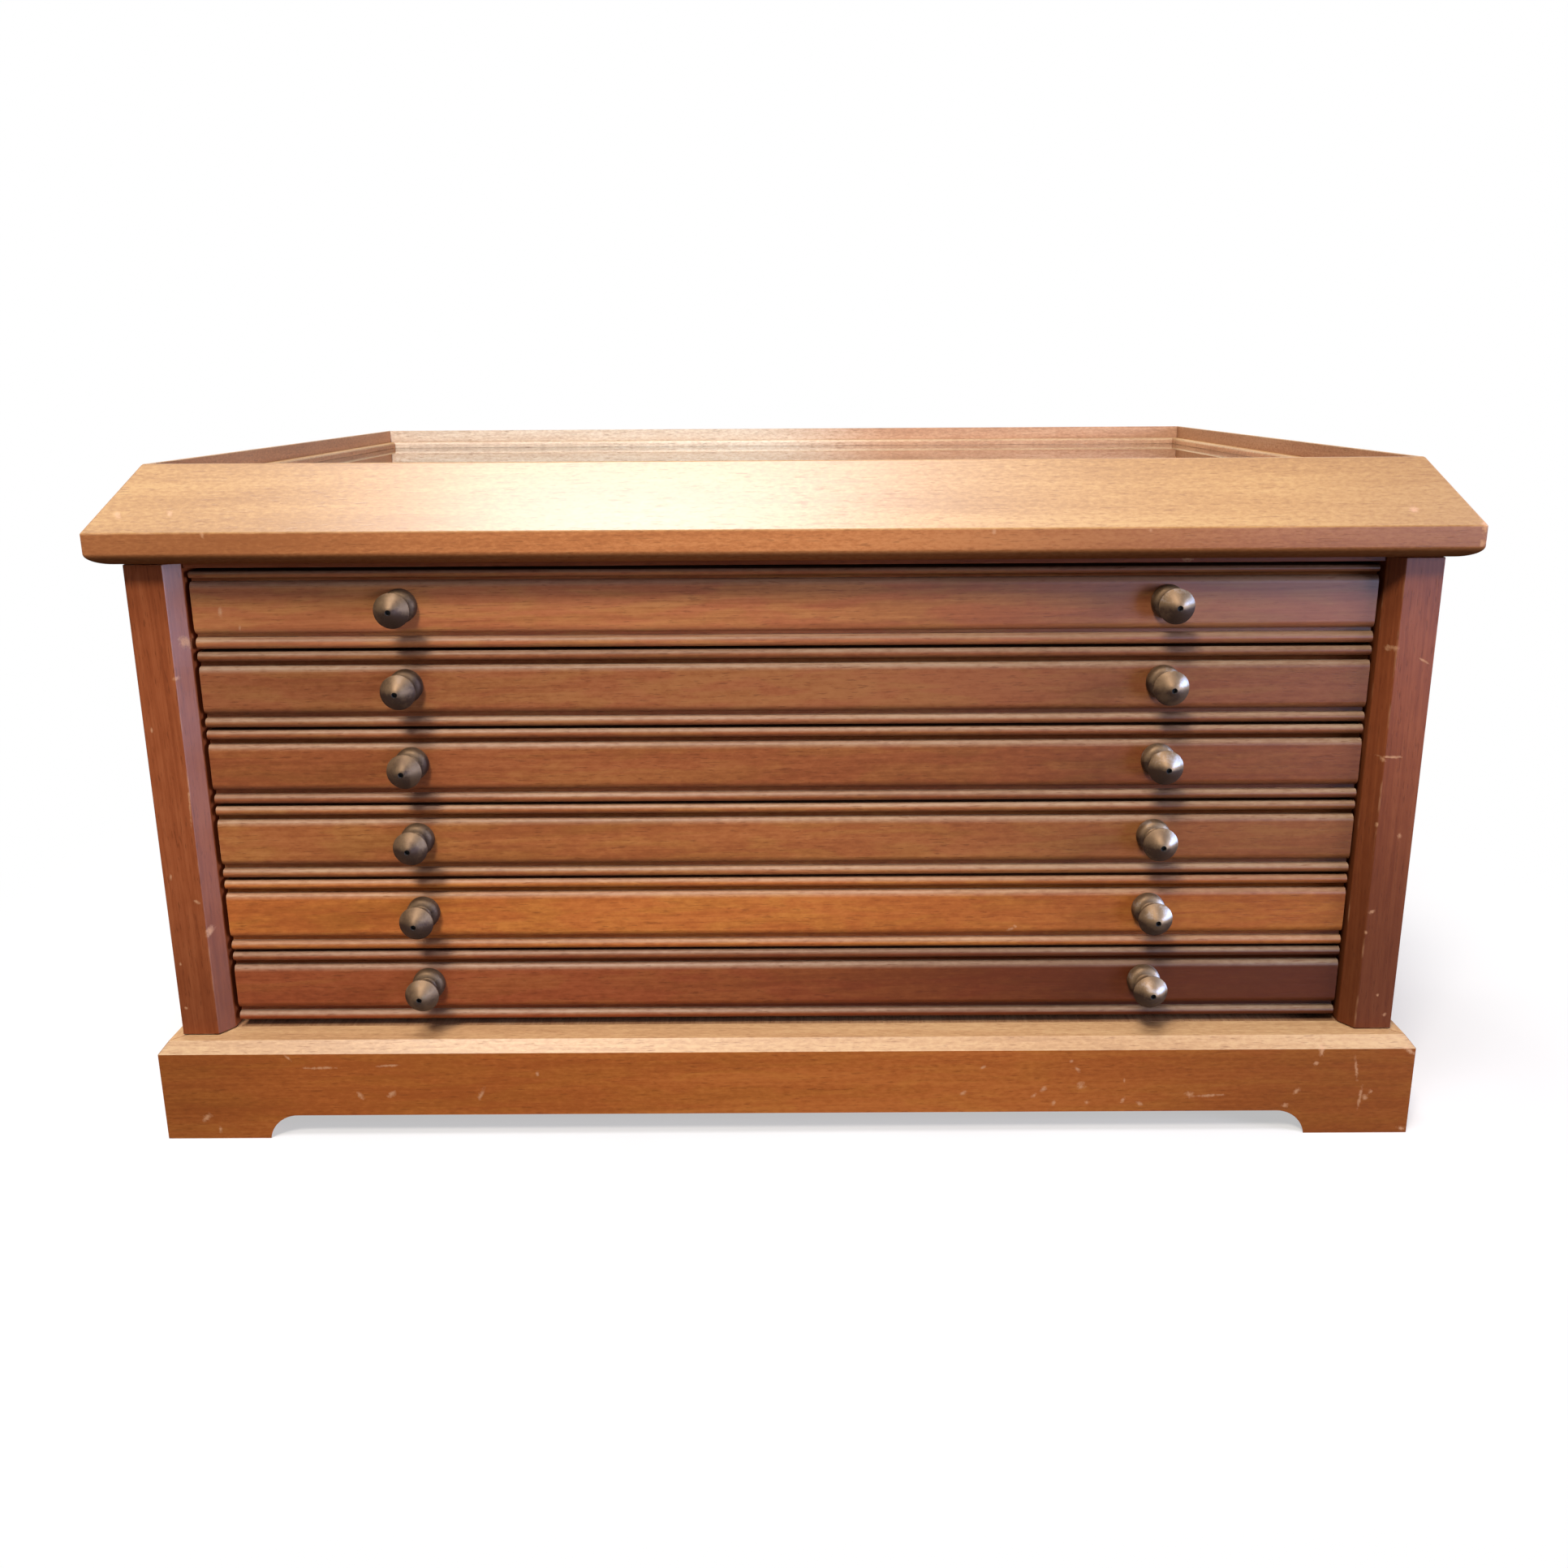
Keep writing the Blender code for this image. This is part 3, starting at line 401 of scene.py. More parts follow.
LEFT_POST_MARKS = (
    (-191.7, 171.0, 1.5, 1.00, 15), (-188.6, 167.2, 1.1, 0.50, 70), (-194.3, 160.1, 1.0, 0.45, -70),
    (-204.2, 143.0, 0.5, 0.35, 0), (-188.7, 140.9, 0.8, 0.40, 80), (-204.2, 92.9, 0.6, 0.45, 0),
    (-196.4, 84.0, 0.9, 0.50, 60), (-193.9, 73.2, 1.2, 0.80, -20), (-188.4, 89.6, 0.8, 0.35, 75),
    (-204.6, 45.7, 0.6, 0.30, 80), (-204.6, 61.9, 0.5, 0.30, 0), (-194.9, 118.0, 9.0, 0.16, 88),
)
RIGHT_POST_MARKS = (
    (193.1, 167.4, 1.3, 0.40, 55), (194.5, 167.4, 1.3, 0.40, -55), (203.6, 163.5, 2.2, 0.16, -30),
    (196.9, 131.8, 4.6, 0.20, 0), (194.3, 131.2, 0.8, 0.50, 20), (194.6, 108.8, 0.6, 0.40, 0),
    (202.4, 104.9, 1.2, 0.28, 80), (195.9, 78.3, 1.4, 0.30, 25), (194.8, 70.9, 0.8, 0.25, 80),
    (204.3, 40.9, 0.9, 0.35, 75), (201.1, 48.0, 0.6, 0.25, 0),
)
FRONT_MARKS = {
    1: ((-180.0, 180.4, 0.9, 0.70, 0), (-174.4, 175.0, 0.6, 0.45, 0)),
    5: ((76.4, 70.5, 1.6, 0.30, 25), (77.9, 71.6, 0.9, 0.25, -30)),
}
LID_MARKS = (
    (-204.4, 211.9, 1.8, 0.40, -35), (-188.3, 212.3, 1.2, 0.35, 20), (-177.4, 206.2, 0.8, 0.45, 0),
    (193.0, 211.4, 2.2, 0.40, -15), (213.9, 206.5, 1.4, 1.40, 0), (213.6, 201.5, 1.6, 0.40, 80),
    (64.3, 205.8, 0.8, 0.40, 0), (112.0, 205.9, 0.7, 0.30, 0),
)
TOP_RAIL_MARKS = ((127.8, 195.6, 2.2, 0.50, 5),)


# Modelling by hand, in code.


def pick(*pieces):
    """Selects these pieces alone, the first one active."""
    bpy.ops.object.select_all(action="DESELECT")
    for piece in pieces:
        piece.select_set(True)
    bpy.context.view_layer.objects.active = pieces[0]


def rename(piece, name):
    piece.name = name
    piece.data.name = name


def settle():
    """Puts the place, turn and scale of the picked piece into its mesh."""
    bpy.ops.object.transform_apply(location=True, rotation=True, scale=True)


def arc(centre, radii, start, end, steps):
    """Points on an ellipse's arc, with the angles in degrees."""
    points = []
    for step in range(steps + 1):
        angle = math.radians(start + (end - start) * step / steps)
        points.append((centre[0] + radii[0] * math.cos(angle), centre[1] + radii[1] * math.sin(angle)))
    return points


def drawn_line(name, points):
    """One vertex, extruded from point to point; it stays in edit mode."""
    bpy.ops.object.select_all(action="DESELECT")
    bpy.ops.mesh.primitive_plane_add(size=START_SIZE)
    line = bpy.context.object
    rename(line, name)
    bpy.ops.object.mode_set(mode="EDIT")
    bpy.ops.mesh.merge(type="CENTER")
    bpy.ops.transform.translate(value=points[0])
    for here, there in zip(points, points[1:]):
        step = Vector(there) - Vector(here)
        bpy.ops.mesh.extrude_region_move(TRANSFORM_OT_translate={"value": step})
    bpy.ops.mesh.select_all(action="SELECT")
    return line


def extruded(name, points, travel):
    """An outline, filled and extruded along travel to a closed solid."""
    solid = drawn_line(name, points)
    bpy.ops.mesh.edge_face_add()
    bpy.ops.mesh.extrude_region_move(TRANSFORM_OT_translate={"value": travel})
    bpy.ops.mesh.select_all(action="SELECT")
    bpy.ops.mesh.normals_make_consistent(inside=False)
    bpy.ops.object.mode_set(mode="OBJECT")
    return solid


def turned(name, profile, steps):
    """A profile of (radius, height), spun about Z and welded."""
    solid = drawn_line(name, [(radius, 0, height) for radius, height in profile])
    bpy.ops.mesh.spin(steps=steps, angle=math.tau, center=(0, 0, 0), axis=(0, 0, 1))
    bpy.ops.mesh.select_all(action="SELECT")
    bpy.ops.mesh.remove_doubles(threshold=MERGE)
    bpy.ops.mesh.normals_make_consistent(inside=False)
    bpy.ops.object.mode_set(mode="OBJECT")
    return solid


def box_between(name, low, high):
    """A cube, stretched between two corners, with its place in its mesh."""
    low = Vector(low)
    high = Vector(high)
    bpy.ops.object.select_all(action="DESELECT")
    bpy.ops.mesh.primitive_cube_add(size=1, location=(low + high) / 2, scale=high - low)
    settle()
    box = bpy.context.object
    rename(box, name)
    return box


def cylinder_at(place, radius, depth, steps, turn=0):
    """A cylinder about this place, turned about the X axis by so many degrees."""
    bpy.ops.object.select_all(action="DESELECT")
    bpy.ops.mesh.primitive_cylinder_add(
        vertices=steps, radius=radius, depth=depth, location=place, rotation=(math.radians(turn), 0, 0)
    )
    return bpy.context.object


def cut_plane(piece, point, outward):
    """Cuts the piece at a plane and closes it; what lies outward goes."""
    pick(piece)
    bpy.ops.object.mode_set(mode="EDIT")
    bpy.ops.mesh.select_all(action="SELECT")
    bpy.ops.mesh.bisect(plane_co=point, plane_no=outward, use_fill=True, clear_outer=True)
    bpy.ops.object.mode_set(mode="OBJECT")


def apply_modifier(piece, kind, **settings):
    pick(piece)
    modifier = piece.modifiers.new(kind.lower(), kind)
    for name, value in settings.items():
        setattr(modifier, name, value)
    bpy.ops.object.modifier_apply(modifier=modifier.name)


def cut_away(piece, tool):
    """Takes the tool's shape out of the piece, and the tool away."""
    apply_modifier(piece, "BOOLEAN", object=tool, operation="DIFFERENCE", solver="EXACT")
    bpy.data.objects.remove(tool)


def leans(face, way, least, most=math.inf):
    """One where the face's normal leans this way, between two shares, and otherwise nought."""
    return float(least < face.normal.dot(way) < most)


def mark_faces(piece, name, share):
    """Stores a value on each face, worked out from its centre and normal."""
    values = piece.data.attributes.new(name, "FLOAT", "FACE")
    for face in piece.data.polygons:
        values.data[face.index].value = share(face)


def mark_corners(piece, name, share):
    """Stores a value on each corner of each face, worked out from the corner's place."""
    mesh = piece.data
    values = mesh.attributes.new(name, "FLOAT", "CORNER")
    for corner in mesh.loops:
        values.data[corner.index].value = share(mesh.vertices[corner.vertex_index].co)


def soften(piece, width, segments=2):
    """Rounds sharp edges; marks the rounded strips, where wear shows, and what faces up, which is faded and
    painted with sheen.
    """
    mesh = piece.data
    mesh.materials.clear()
    mesh.materials.append(None)
    mesh.materials.append(None)
    pick(piece)
    bpy.ops.object.shade_smooth()
    apply_modifier(
        piece, "BEVEL", width=width, segments=segments, limit_method="ANGLE",
        angle_limit=math.radians(SHARP_ANGLE), material=ARRIS_SLOT,
    )
    mark_faces(piece, "arris", lambda face: float(face.material_index == ARRIS_SLOT))
    # Faces that turn up are faded and get painted sheen.
    mark_faces(piece, "faded_and_sheen", lambda face: max(0.0, min(1.0, face.normal.z * FADE_AND_SHEEN_STEEPNESS)))
    for face in mesh.polygons:
        face.material_index = 0
    mesh.materials.clear()
    apply_modifier(piece, "WEIGHTED_NORMAL", weight=FACE_WEIGHT, keep_sharp=False)


def copied(piece, name, move):
    """A copy with its own mesh, moved there."""
    pick(piece)
    bpy.ops.object.duplicate()
    copy = bpy.context.object
    rename(copy, name)
    bpy.ops.transform.translate(value=move)
    settle()
    return copy


def joined(name, pieces):
    """The pieces as one object of separate solids."""
    pick(*pieces)
    bpy.ops.object.join()
    group = bpy.context.object
    rename(group, name)
    return group


def turned_over(piece, name):
    """A copy that is turned upside down about the X axis."""
    over = copied(piece, name, (0, 0, 0))
    over.rotation_euler = (math.pi, 0, 0)
    settle()
    return over


def node_copy(node, name):
    """A welded copy of a node's solid, to be worked on."""
    pick(frame["nodes"][node])
    bpy.ops.object.duplicate()
    copy = bpy.context.object
    rename(copy, name)
    copy.parent = None
    del copy["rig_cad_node"]
    bpy.ops.object.mode_set(mode="EDIT")
    bpy.ops.mesh.select_all(action="SELECT")
    bpy.ops.mesh.remove_doubles(threshold=MERGE)
    bpy.ops.mesh.dissolve_limited(angle_limit=math.radians(FLAT_ANGLE))
    bpy.ops.object.mode_set(mode="OBJECT")
    return copy


def paint(piece, finish):
    piece.data.materials.clear()
    piece.data.materials.append(finish)


def hand_over(piece, finish, body, slot, *nodes):
    """The finished piece is painted, rides on its body and stands for its nodes."""
    paint(piece, finish)
    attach(piece, body)
    if nodes:
        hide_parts(*nodes)


# Finishes.


def add_node(tree, kind, values=None, **settings):
    """A shader node; values that are sockets are linked, and others are set."""
    node = tree.nodes.new("ShaderNode" + kind)
    for name, value in settings.items():
        setattr(node, name, value)
    for socket, value in (values or {}).items():
        if isinstance(value, bpy.types.NodeSocket):
            tree.links.new(value, node.inputs[socket])
        else:
            node.inputs[socket].default_value = value
    return node


def maths(tree, operation, first, second=0.0, clamp=False):
    return add_node(tree, "Math", {0: first, 1: second}, operation=operation, use_clamp=clamp).outputs[0]


def times(tree, first, second):
    return maths(tree, "MULTIPLY", first, second)


def scaled(tree, value, factor, added):
    """The value times a factor, with something added."""
    return add_node(tree, "Math", {0: value, 1: factor, 2: added}, operation="MULTIPLY_ADD").outputs[0]


def weighed(tree, first, *others):
    """The sum of (value, weight) parts."""
    total = times(tree, *first)
    for part in others:
        total = maths(tree, "ADD", total, times(tree, *part))
    return total


def mixed(tree, factor, first, second):
    """Two colours mixed by a factor."""
    values = {0: factor, 6: first, 7: second}
    return add_node(tree, "Mix", values, data_type="RGBA").outputs[2]


def ranged(tree, value, low, high, to_low=0.0, to_high=1.0):
    """A value from low to high, mapped smoothly and held at both ends."""
    node = add_node(
        tree, "MapRange",
        {"Value": value, "From Min": low, "From Max": high, "To Min": to_low, "To Max": to_high},
        interpolation_type="SMOOTHSTEP",
    )
    return node.outputs["Result"]


def ramp(tree, factor, stops):
    """A colour ramp through (place, colour) stops."""
    node = add_node(tree, "ValToRGB", {"Fac": factor})
    elements = node.color_ramp.elements
    while len(elements) < len(stops):
        elements.new(0.5)
    for element, (place, colour) in zip(elements, stops):
        element.position = place
        element.color = (*colour, 1)
    return node.outputs["Color"]


def object_place(tree):
    return add_node(tree, "TexCoord").outputs["Object"]


def object_axis(tree, axis):
    return add_node(tree, "SeparateXYZ", {0: object_place(tree)}).outputs[axis]


def noise(tree, vector, scale, detail=3.0, roughness=0.55, distortion=0.0):
    values = {"Vector": vector, "Scale": scale, "Detail": detail, "Roughness": roughness}
    return add_node(tree, "TexNoise", {**values, "Distortion": distortion}).outputs["Fac"]


def new_finish(name):
    finish = bpy.data.materials.new(name)
    finish.use_nodes = True
    shader = finish.node_tree.nodes["Principled BSDF"]
    return finish, finish.node_tree, shader


def connect(tree, output, shader, socket):
    tree.links.new(output, shader.inputs[socket])


def set_evenly(shader, values):
    """Sets values that are the same all over the surface."""
    for socket, value in values.items():
        shader.inputs[socket].default_value = value


def add_bump(tree, shader, height, strength, distance):
    bump = add_node(tree, "Bump", {"Strength": strength, "Distance": distance, "Height": height})
    connect(tree, bump.outputs["Normal"], shader, "Normal")


def grain(tree, along, shift, stretch, tilt=0.0, **pattern):
    """Noise on the object's own coordinates, drawn out along the grain."""
    values = {"Vector": object_place(tree), "Location": shift, "Rotation": (tilt, tilt, tilt)}
    moved = add_node(tree, "Mapping", values).outputs["Vector"]
    scale = [1.0, 1.0, 1.0]
    scale["XYZ".index(along)] = 1 / stretch
    drawn_out = add_node(tree, "Mapping", {"Vector": moved, "Scale": scale}).outputs["Vector"]
    return noise(tree, drawn_out, **pattern)


def attribute(tree, name):
    return add_node(tree, "Attribute", attribute_name=name).outputs["Fac"]


def darker(colour, share):
    return (*[channel * share for channel in colour], 1)


def shades(middle, depth):
    """Dark, middle and light tones of a wood, redder in the dark and yellower in the light."""
    dark = tuple(channel * (1 - depth * drop) for channel, drop in zip(middle, DARK_DROP))
    light = tuple(channel * (1 + depth * rise) for channel, rise in zip(middle, LIGHT_RISE))
    return dark, middle, light


def toned(tree, spread, wood, depth):
    """A wood's colour, from its dark tone to its light one."""
    return ramp(tree, spread, tuple(zip(TONE_PLACES, shades(wood, depth))))


def mark_mask(tree, mark, ragged):
    """One inside an oval mark, given as x, z, half length, half width (mm) and turn (degrees)."""
    x, z, length, width, turn = mark
    values = {
        "Vector": object_place(tree),
        "Location": (x / MM_PER_METRE, 0, z / MM_PER_METRE),
        "Rotation": (0, math.radians(-turn), 0),
        "Scale": (length / MM_PER_METRE, 1, MARK_SOFTNESS * width / MM_PER_METRE),
    }
    local = add_node(tree, "Mapping", values, vector_type="TEXTURE").outputs["Vector"]
    reach = add_node(tree, "VectorMath", {0: local}, operation="LENGTH").outputs["Value"]
    share = CHIP_SHARE if width >= CHIP_WIDTH else SCRATCH_SHARE
    return ranged(tree, maths(tree, "ADD", reach, ragged), *MARK_EDGE, 0.0, share)


def bared(tree, along, shift, wear_and_painted_light, marks):
    """Where the polish is gone: scuffs on the rounded edges, and old marks."""
    scuffs = ranged(tree, grain(tree, along, shift, **SCUFFS), *SCUFFS_RANGE)
    bare = times(tree, times(tree, attribute(tree, "arris"), scuffs), wear_and_painted_light)
    if marks:
        ragged = times(tree, noise(tree, object_place(tree), **CRUMBS), CRUMB_REACH)
        for mark in marks:
            bare = maths(tree, "MAXIMUM", bare, mark_mask(tree, mark, ragged))
    return bare


def shaded_along(tree, colour, painted_falloff, wood):
    """The colour with painted shade where the light falls off, growing along an axis, each from a start to
    an end, up to its strength.
    """
    for axis, start, end, strength in painted_falloff:
        shade_share = ranged(tree, object_axis(tree, axis), start, end, 0.0, strength)
        colour = mixed(tree, shade_share, colour, darker(wood, FALLOFF_TONE))
    return colour


def well_light_share(tree):
    """How much painted light the wood beside the well gets, which falls off to the right."""
    across = object_axis(tree, "X")
    fall = ranged(tree, across, WELL_LIGHT_FROM, WELL_LIGHT_TO, 1.0, WELL_LIGHT_LEAST)
    return times(tree, attribute(tree, "painted_well_light"), fall)


def mahogany(
    name, wood, along, shift, faded_and_sheen=0.0, faded_and_sheen_wood=LEDGE_WOOD, shine=0.0, gloss=0.40, specular=0.14,
    fibre=0.36, fleck=0.45, speckle=260, depth=1.0, wear_and_painted_light=0.3, marks=(), painted_falloff=(), pale_falloff=(),
    painted_well_light=False, dulled_by_painted_shade=False, figure=0.0,
):
    """Polished mahogany: fibres, bands and pores along the grain, upturned faces partly faded and partly
    painted sheen, painted shade and painted falloff of light, painted light in the well, worn edges and old
    marks.
    """
    finish, tree, shader = new_finish(name)
    fibres = grain(tree, along, shift, **FIBRES)
    bands = grain(tree, along, shift, **BANDS)
    mottle = grain(tree, along, shift, **MOTTLE, scale=speckle)
    clouds = grain(tree, along, shift, **CLOUDS)
    pores = ranged(tree, grain(tree, along, shift, **PORES), *PORES_RANGE)
    mottle_share = FIBRES_AND_MOTTLE_SHARE - fibre
    tone = weighed(
        tree, (fibres, fibre), (bands, BANDS_SHARE), (mottle, mottle_share), (clouds, CLOUDS_SHARE)
    )
    spread = ranged(tree, tone, *TONE_RANGE)
    dark = shades(wood, depth)[0]
    colour = toned(tree, spread, wood, depth)
    if figure:
        golden = [channel * gain for channel, gain in zip(wood, GOLDEN)]
        flames = ranged(tree, grain(tree, along, shift, **FLAMES), *FLAMES_RANGE)
        colour = mixed(tree, times(tree, flames, figure), colour, toned(tree, spread, golden, depth))
    # Painted shade where the light falls off.
    colour = shaded_along(tree, colour, painted_falloff, dark)
    # Faces that turn up: partly faded, partly painted sheen.
    if faded_and_sheen:
        pale = shaded_along(tree, toned(tree, spread, faded_and_sheen_wood, depth), pale_falloff, dark)
        colour = mixed(tree, times(tree, attribute(tree, "faded_and_sheen"), faded_and_sheen), colour, pale)
    # Painted light on the faces of the well.
    if painted_well_light:
        colour = mixed(tree, well_light_share(tree), colour, toned(tree, spread, WELL_LIT_WOOD, depth))
    colour = mixed(tree, times(tree, pores, fleck), colour, darker(dark, PORE_TONE))
    # Painted shade in quirks, gaps and the well, under the lid and on the left chamfer.
    shaded = times(tree, attribute(tree, "painted_shade"), PAINTED_SHADE_SHARE)
    colour = mixed(tree, shaded, colour, darker(dark, PAINTED_SHADE_TONE))
    bare = bared(tree, along, shift, wear_and_painted_light, marks)
    connect(tree, mixed(tree, bare, colour, (*BARE_WOOD, 1)), shader, "Base Color")
    smoother, rougher = POLISH_SPREAD
    polish = ranged(tree, clouds, *CLOUDS_RANGE, gloss + smoother, gloss + rougher)
    connect(tree, scaled(tree, bare, BARE_ROUGHNESS, polish), shader, "Roughness")
    height = maths(tree, "SUBTRACT", times(tree, fibres, FIBRE_HEIGHT), pores)
    add_bump(tree, shader, height, **WOOD_BUMP)
    set_evenly(shader, {"Specular IOR Level": specular})
    # Painted shade dulls the shine as well.
    if shine or dulled_by_painted_shade:
        shining = scaled(tree, attribute(tree, "polish"), shine, specular)
        unshaded = ranged(tree, attribute(tree, "painted_shade"), 0.0, DULL_SHADE, 1.0, 0.0)
        connect(tree, times(tree, shining, unshaded), shader, "Specular IOR Level")
    return finish


def bare_wood(name, wood, along, shift):
    """Waxed inner wood: duller, with a plainer grain."""
    return mahogany(name, wood, along, shift, gloss=0.55, specular=0.15, wear_and_painted_light=0.1)


def aged_brass(name, dark, bright, gloss, metallic, painted_knob_light=None):
    """Brass under a cloudy patina, with painted shade in its recesses and, on the knobs, painted shade
    below, a painted highlight above and a painted glint.
    """
    finish, tree, shader = new_finish(name)
    coords = object_place(tree)
    patina = noise(tree, coords, **PATINA)
    spots = noise(tree, coords, **SPOTS)
    tone = weighed(tree, (patina, PATINA_SHARE), (spots, 1 - PATINA_SHARE))
    share = ranged(tree, tone, *BRASS_RANGE)
    # On the knobs: painted shade below, a painted highlight above and a painted glint, clouded by the
    # patina.
    if painted_knob_light:
        cloud = times(tree, maths(tree, "SUBTRACT", share, 0.5), KNOB_LIGHT_CLOUDS)
        share = maths(tree, "ADD", attribute(tree, "painted_knob_light"), cloud, clamp=True)
        colour = ramp(tree, share, ((0.0, dark), (KNOB_HIGHLIGHT_FROM, bright), (1.0, painted_knob_light)))
    else:
        colour = mixed(tree, share, (*dark, 1), (*bright, 1))
    # Painted shade in recesses, such as the hole in a knob's tip.
    colour = mixed(tree, attribute(tree, "painted_shade"), colour, darker(dark, BRASS_SHADE_TONE))
    connect(tree, colour, shader, "Base Color")
    smoother, rougher = BRASS_SPREAD
    rough = ranged(tree, spots, *SPOTS_RANGE, gloss + smoother, gloss + rougher)
    connect(tree, rough, shader, "Roughness")
    add_bump(tree, shader, spots, **BRASS_BUMP)
    set_evenly(shader, {"Metallic": metallic})
    return finish


def wool_felt(name, dark, light):
    """Pressed wool: short crossing fibres and a soft sheen."""
    finish, tree, shader = new_finish(name)
    coords = object_place(tree)
    fibres = noise(tree, coords, **WOOL)
    tufts = noise(tree, coords, **TUFTS)
    tone = weighed(tree, (fibres, WOOL_SHARE), (tufts, 1 - WOOL_SHARE))
    connect(tree, ramp(tree, tone, tuple(zip(FELT_PLACES, (dark, light)))), shader, "Base Color")
    add_bump(tree, shader, fibres, **FELT_BUMP)
    set_evenly(shader, {"Roughness": 0.95, "Sheen Weight": 0.3})
    return finish


def plate_glass(name):
    """Clear old glass with a green cast and a faint bloom."""
    finish, tree, shader = new_finish(name)
    bloom = noise(tree, object_place(tree), **BLOOM)
    connect(tree, ramp(tree, bloom, GLASS_TINTS), shader, "Base Color")
    connect(tree, ranged(tree, bloom, *BLOOM_RANGE, 0.0, BLOOM_ROUGHNESS), shader, "Roughness")
    set_evenly(shader, {"Transmission Weight": 1.0, "IOR": GLASS_IOR})
    return finish


# Sections, as (inwards, up) from the outer lower edge.


def lid_section(moulded):
    """Round or square lower edge, outer slope, ridge and the ledge that carries the glass."""
    low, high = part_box("lid_rail_front")
    height = high.z - low.z
    width = high.y - low.y
    ridge_inner = LID_SLOPE_RUN + LID_RIDGE
    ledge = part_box("lid_glass")[0].z - FIT - low.z
    radii = (OVOLO_WIDTH, OVOLO_HEIGHT)
    lower = arc(radii, radii, 270, 180, MOULDING_STEPS) if moulded else [(0, 0)]
    return [
        *lower,
        (0, LID_EDGE),
        (LID_SLOPE_RUN, height),
        (ridge_inner, height),
        (ridge_inner, ledge),
        (width, ledge),
        (width, 0),
    ]


def bead_section():
    """Glazing bead with a round upper inner edge, pressed down to the glass."""
    low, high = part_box("glazing_bead_front")
    size = high.z - low.z
    half = size / 2
    round_edge = arc((half, half), (half, half), 90, 0, EASE_STEPS)
    return [(0, -BEAD_SEAT), (0, size), *round_edge, (size, -BEAD_SEAT)]


def plinth_section(chamfered):
    """Chamfered or square top edge, flat ledge and inner rebate."""
    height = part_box("plinth_front")[1].z
    ledge_end = PLINTH_THICKNESS - PLINTH_REBATE
    top = [(0, height - PLINTH_CHAMFER_DROP), (PLINTH_CHAMFER_RUN, height)] if chamfered else [(0, height)]
    return [
        (0, 0),
        *top,
        (ledge_end, height),
        (ledge_end, height - PLINTH_REBATE_DEPTH),
        (PLINTH_THICKNESS, height - PLINTH_REBATE_DEPTH),
        (PLINTH_THICKNESS, 0),
    ]


def moulded_edge(bead, quirk):
    """Bead, quirk and the field's eased edge, from the front's own edge."""
    radius = bead / 2
    field = bead + quirk
    ease_depth = BEAD / 2
    round_bead = arc((radius, radius), (radius, radius), 270, 90, MOULDING_STEPS)
    ease = arc((ease_depth, field + FIELD_ROUND), (ease_depth, FIELD_ROUND), 270, 180, EASE_STEPS)
    return [*round_bead, (QUIRK_DEPTH, bead), (QUIRK_DEPTH, field), *ease]


def drawer_section(height, thickness, upper, lower):
    """Bead, quirk, field with eased edges, quirk and bead, closed at the back."""
    above = [(x, height - z) for x, z in reversed(moulded_edge(*upper))]
    return [(thickness, 0), *moulded_edge(*lower), *above, (thickness, height)]


def knob_profile():
    """From the pierced tip, over the round rim and in to the neck, out to the base and down the shank."""
    nose = []
    for step in range(KNOB_NOSE_STEPS + 1):
        share = step / KNOB_NOSE_STEPS
        drop = (KNOB_LENGTH - KNOB_RIM) * share**KNOB_NOSE_BULGE
        nose.append((KNOB_TIP + (KNOB_HEAD - KNOB_TIP) * share, KNOB_LENGTH - drop))
    rim_inner = KNOB_HEAD - KNOB_RIM_WIDTH / 2
    rim_back = KNOB_RIM - KNOB_RIM_WIDTH
    rim = arc((rim_inner, KNOB_RIM), (KNOB_RIM_WIDTH / 2, KNOB_RIM_WIDTH), 0, -90, KNOB_RIM_STEPS)
    hollow = (rim_inner - KNOB_NECK, rim_back - KNOB_NECK_HEIGHT)
    under = arc((rim_inner, KNOB_NECK_HEIGHT), hollow, 90, 180, KNOB_UNDER_STEPS)
    base_flat = KNOB_BASE - KNOB_BASE_EASE
    flare_reach = (base_flat - KNOB_NECK, KNOB_NECK_HEIGHT - KNOB_BASE_HEIGHT)
    flare = arc((base_flat, KNOB_NECK_HEIGHT), flare_reach, 180, 270, KNOB_FLARE_STEPS)
    base_ease = (KNOB_BASE_EASE, KNOB_BASE_EASE)
    base = arc((base_flat, KNOB_BASE_HEIGHT - KNOB_BASE_EASE), base_ease, 90, 0, KNOB_BASE_STEPS)
    return [
        (0, KNOB_LENGTH - KNOB_DIMPLE),
        (KNOB_TIP - KNOB_TIP_LIP, KNOB_LENGTH - KNOB_DIMPLE),
        (KNOB_TIP - KNOB_TIP_LIP, KNOB_LENGTH - KNOB_TIP_LIP),
        *nose,
        *rim[1:],
        *under[1:],
        *flare[1:],
        *base[1:],
        (KNOB_BASE, 0),
        (KNOB_SHANK, 0),
        (KNOB_SHANK, -KNOB_SHANK_LENGTH),
        (0, -KNOB_SHANK_LENGTH),
    ]


# Pieces.


def mitred_rail(name, section, corner, along, inward, length):
    """A rail from its outer lower corner, mitred at both ends."""
    corner = Vector(corner)
    solid = extruded(name, [corner + inward * x + Z_AXIS * z for x, z in section], along * length)
    half_gap = along * FIT / 2
    cut_plane(solid, corner + half_gap, inward - along)
    cut_plane(solid, corner + along * length - half_gap, inward + along)
    return solid


